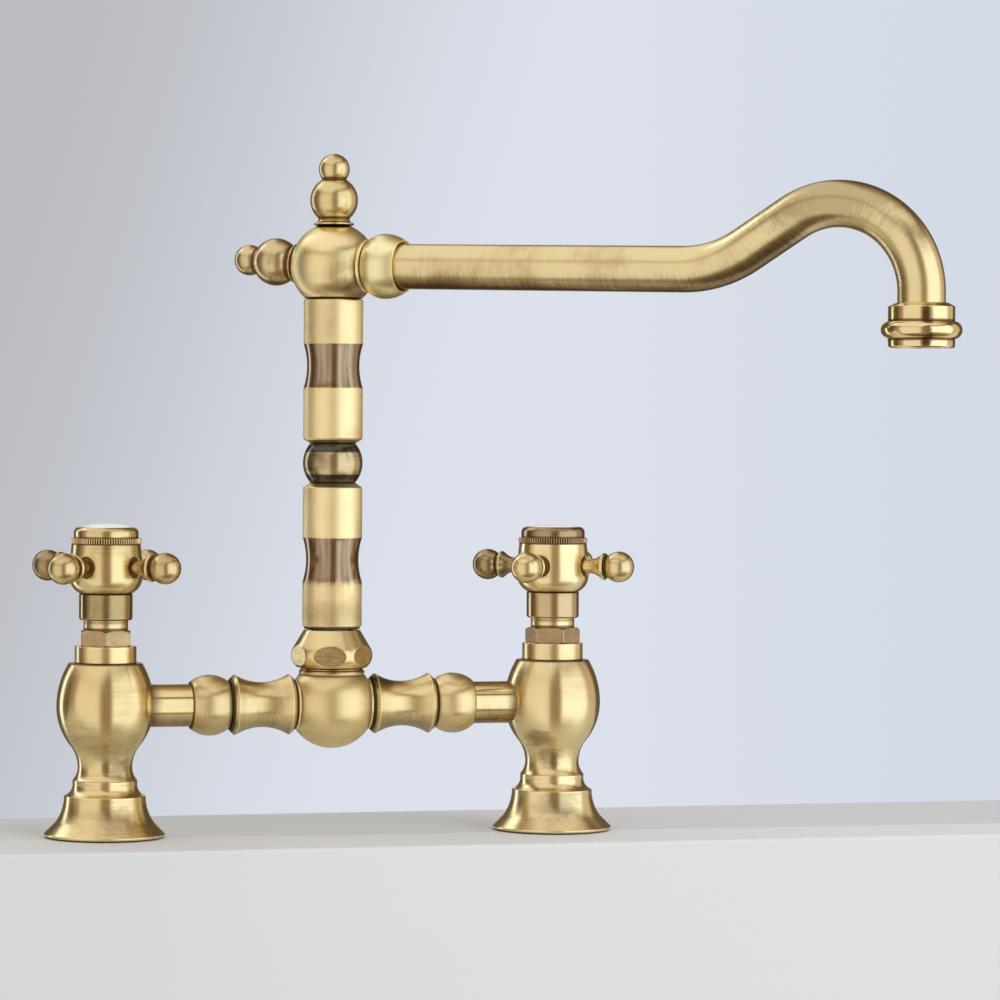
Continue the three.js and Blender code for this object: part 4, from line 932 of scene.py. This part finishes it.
def spoke_line():
    """Stub, trumpet, thin collar edge, throat and ball end, outwards from the hub."""
    stub, throat, reach, radius = 2.7, 3.9, 28.0, 6.1
    return outline(
        [[0, 11.6], [stub, 11.6]],
        arch((stub, 15.2), (5.1, 21.3), 14),
        [[5.35, 21.6], [5.35, 22.1], [4.9, 22.6], [throat, 22.9]],
        ball(radius, reach, max(reach - math.sqrt(radius**2 - throat**2), 22.95), reach + radius, 36),
        fillet=0.25, seams=[12.9, 22.9],
    )


for side, label in ((-1, "left"), (1, "right")):
    pillar_set(side, label)
    bridge_half(side, label)
centre_and_nut()
column()
head()
arm()
for side, label in ((-1, "hot"), (1, "cold")):
    handle(side, label)

# The hidden solids keep their CAD shapes and only get a finish.
inside = {
    rubber: ["left_base_gasket", "right_base_gasket", "lower_o_ring", "upper_o_ring"],
    ceramic: ["left_fixed_disc", "right_fixed_disc", "hot_turning_disc", "cold_turning_disc"],
    nylon: ["aerator", "glide_washer"],
    raw_brass: ["inner_pipe", "hot_spindle", "cold_spindle"],
    steel: ["hot_handle_screw", "cold_handle_screw"],
}
for material, nodes in inside.items():
    for node in nodes:
        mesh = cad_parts[node].data
        mesh.materials.clear()
        mesh.materials.append(material)


# ------------------------------------------------------------------ worktop, backdrop, light and camera
def stage_plate(name, low, high, material, slant=0.02, bevel=0.0015):
    """A plain block between two corners, in metres, with its edges eased. It goes back by a fiftieth towards the
    right, as the worktop does in the photograph."""
    x, y, z = (np.array([low[i], high[i]]) for i in range(3))
    corners = np.array([[i, j + slant * i, k] for i in x for j in y for k in z])
    faces = [(0, 1, 3, 2), (4, 6, 7, 5), (0, 4, 5, 1), (2, 3, 7, 6), (0, 2, 6, 4), (1, 5, 7, 3)]
    mesh = bpy.data.meshes.new(name)
    mesh.from_pydata(corners.tolist(), [], faces)
    mesh.materials.append(material)
    block = bpy.data.objects.new(name, mesh)
    bpy.context.scene.collection.objects.link(block)
    eased = block.modifiers.new("eased", "BEVEL")
    eased.width, eased.segments = bevel, 3


def worktop_finish():
    """Pale matt worktop with a painted highlight along its front edge, lighter towards the right as painted light
    from that side.
    """
    f = Finish("worktop", Roughness=0.6)
    place = f.node("TexCoord").outputs["Object"]
    x, y, _ = f.parts(place)
    # Painted highlight of a rounded front edge.
    front_edge_highlight = f.ease(y, -0.004, -0.012)
    cloud = f.noise(place, (6, 6, 6), 2)
    # Painted light from the right: the front strip grows lighter that way, while the top only changes its tint.
    side = f.ease(x + (cloud - 0.5) * 0.2, -0.12, 0.1)
    top = f.blend(side, rgb(208, 208, 206), rgb(207, 207, 208))
    f.put(f.shader.inputs["Base Color"], f.blend(front_edge_highlight, top, f.blend(side, rgb(215, 215, 214), rgb(221, 221, 221))))
    return f.material


stage_plate("worktop", (-0.9, -0.0543, -0.4), (1.2, 0.081, 0.0), worktop_finish())

CAMERA_YAW, CAMERA_ROLL = math.radians(12.7), math.radians(0.3)
CAMERA_AWAY, CAMERA_HEIGHT = 1.6, 0.164  # metres
SENSOR, LENS = 36, 36 * 4.07


def studio():
    """The room by direction, as polished metal shows it, and the backdrop that the camera sees. Bearings are degrees
    from the way that leads from the object to the camera, right positive, and lifts are degrees from level."""
    world = bpy.data.worlds.new("studio")
    bpy.context.scene.world = world
    world.use_nodes = True
    f = Bench(world.node_tree)
    x, y, z = f.parts(f.node("TexCoord").outputs["Generated"])
    ahead = x * math.sin(CAMERA_YAW) + y * math.cos(CAMERA_YAW)
    right = x * math.cos(CAMERA_YAW) - y * math.sin(CAMERA_YAW)
    bearing = right._math("ARCTAN2", right, ahead * -1) * (180 / math.pi)
    lift = z._math("ARCSINE", z.least(0.999).most(-0.999)) * (180 / math.pi)

    def window(low, high, soft):
        return f.ease(bearing, low - soft, low + soft) * f.ease(bearing, high + soft, high - soft)

    def storey(low, high, soft):
        return f.ease(lift, low - soft, low + soft) * f.ease(lift, high + soft, high - soft)

    wall = storey(-48, 30, 9)
    # The dim room, the wall on the camera's side and the white wall on its left, with that one's dim end.
    level = 0.12 + window(-74, 92, 7) * wall * 0.2 + window(-74, -10, 7) * wall * 0.78
    level = level + window(-92, -74, 4) * wall * 0.22
    # A slit of light far left, the large soft box on the right and its dimmer side.
    level = level + window(-131, -119, 1.5) * storey(-60, 50, 5) * 2.2
    level = level + window(20, 92, 4) * storey(-33, 39, 4) * 1.3
    level = level + window(92, 127, 4) * storey(-40, 34, 6) * 0.6
    # The ceiling, which begins higher on the right and is dark far away on that side, and the dim floor.
    past = f.ease(right, -0.12, 0.06) * f.ease(ahead, -0.35, 0.62)
    level = level + f.ease(lift - f.ease(bearing, -10, 15) * 14, 30, 38) * (1 - past * 0.93) * 1.05
    behind = f.ease(abs(bearing), 120, 140)
    level = level + f.ease(lift, -30, -42) * f.ease(lift, -95, -45) * 0.12 * (1 - behind)
    # The pale backdrop, straight behind the object.
    backdrop = f.ease(abs(bearing), 168, 174) * f.ease(abs(lift), 24, 14)
    level = level * (1 - backdrop) + backdrop * 0.8
    ray = f.node("LightPath").outputs
    seen = Wire(f.tree, ray["Is Camera Ray"]).most(Wire(f.tree, ray["Is Transmission Ray"]))
    gloss = Wire(f.tree, ray["Is Glossy Ray"])
    room = f.blend(f.ease(level, 0.2, 1.6), rgb(255, 228, 196), rgb(232, 240, 255))
    sky = f.blend(f.ease(right - z * 0.3, -0.1, 0.04), rgb(187, 188, 194), rgb(220, 225, 235))
    sky = f.blend(f.ease(right, 0.05, 0.15), sky, rgb(213, 219, 230))
    light = f.blend(gloss, rgb(255, 255, 255), room)
    f.put(world.node_tree.nodes["Background"].inputs["Color"], f.blend(seen, light, sky))
    strength = seen + (1 - seen) * (gloss * level + (1 - gloss) * 0.85)
    f.put(world.node_tree.nodes["Background"].inputs["Strength"], strength)


studio()


def lamp(name, place, aim, size, power):
    """A soft lamp that aims at a point. The metal shows the studio's own soft box instead of it."""
    data = bpy.data.lights.new(name, "AREA")
    data.shape, data.size, data.size_y, data.energy = "RECTANGLE", *size, power
    made = bpy.data.objects.new(name, data)
    made.location = place
    made.rotation_euler = (Vector(aim) - Vector(place)).to_track_quat("-Z", "Y").to_euler()
    made.visible_glossy = False
    bpy.context.scene.collection.objects.link(made)


lamp("soft_box", (0.9, -1.3, 1.1), (0.03, 0, 0.12), (0.9, 0.9), 9)

view = bpy.data.cameras.new("camera")
view.sensor_width, view.lens = SENSOR, LENS
view.shift_x, view.shift_y = 0.167, -0.0842
view.clip_start, view.clip_end = 0.05, 50
camera = bpy.data.objects.new("camera", view)
bpy.context.scene.collection.objects.link(camera)
ahead = Vector((math.sin(CAMERA_YAW), math.cos(CAMERA_YAW), 0))
camera.location = ahead * -CAMERA_AWAY + Vector((0, 0, CAMERA_HEIGHT))
square = ahead.to_track_quat("-Z", "Y").to_matrix().to_4x4()
camera.matrix_world = Matrix.Translation(camera.location) @ square @ Matrix.Rotation(CAMERA_ROLL, 4, "Z")
bpy.context.scene.camera = camera
bpy.context.scene.view_settings.view_transform = "Standard"
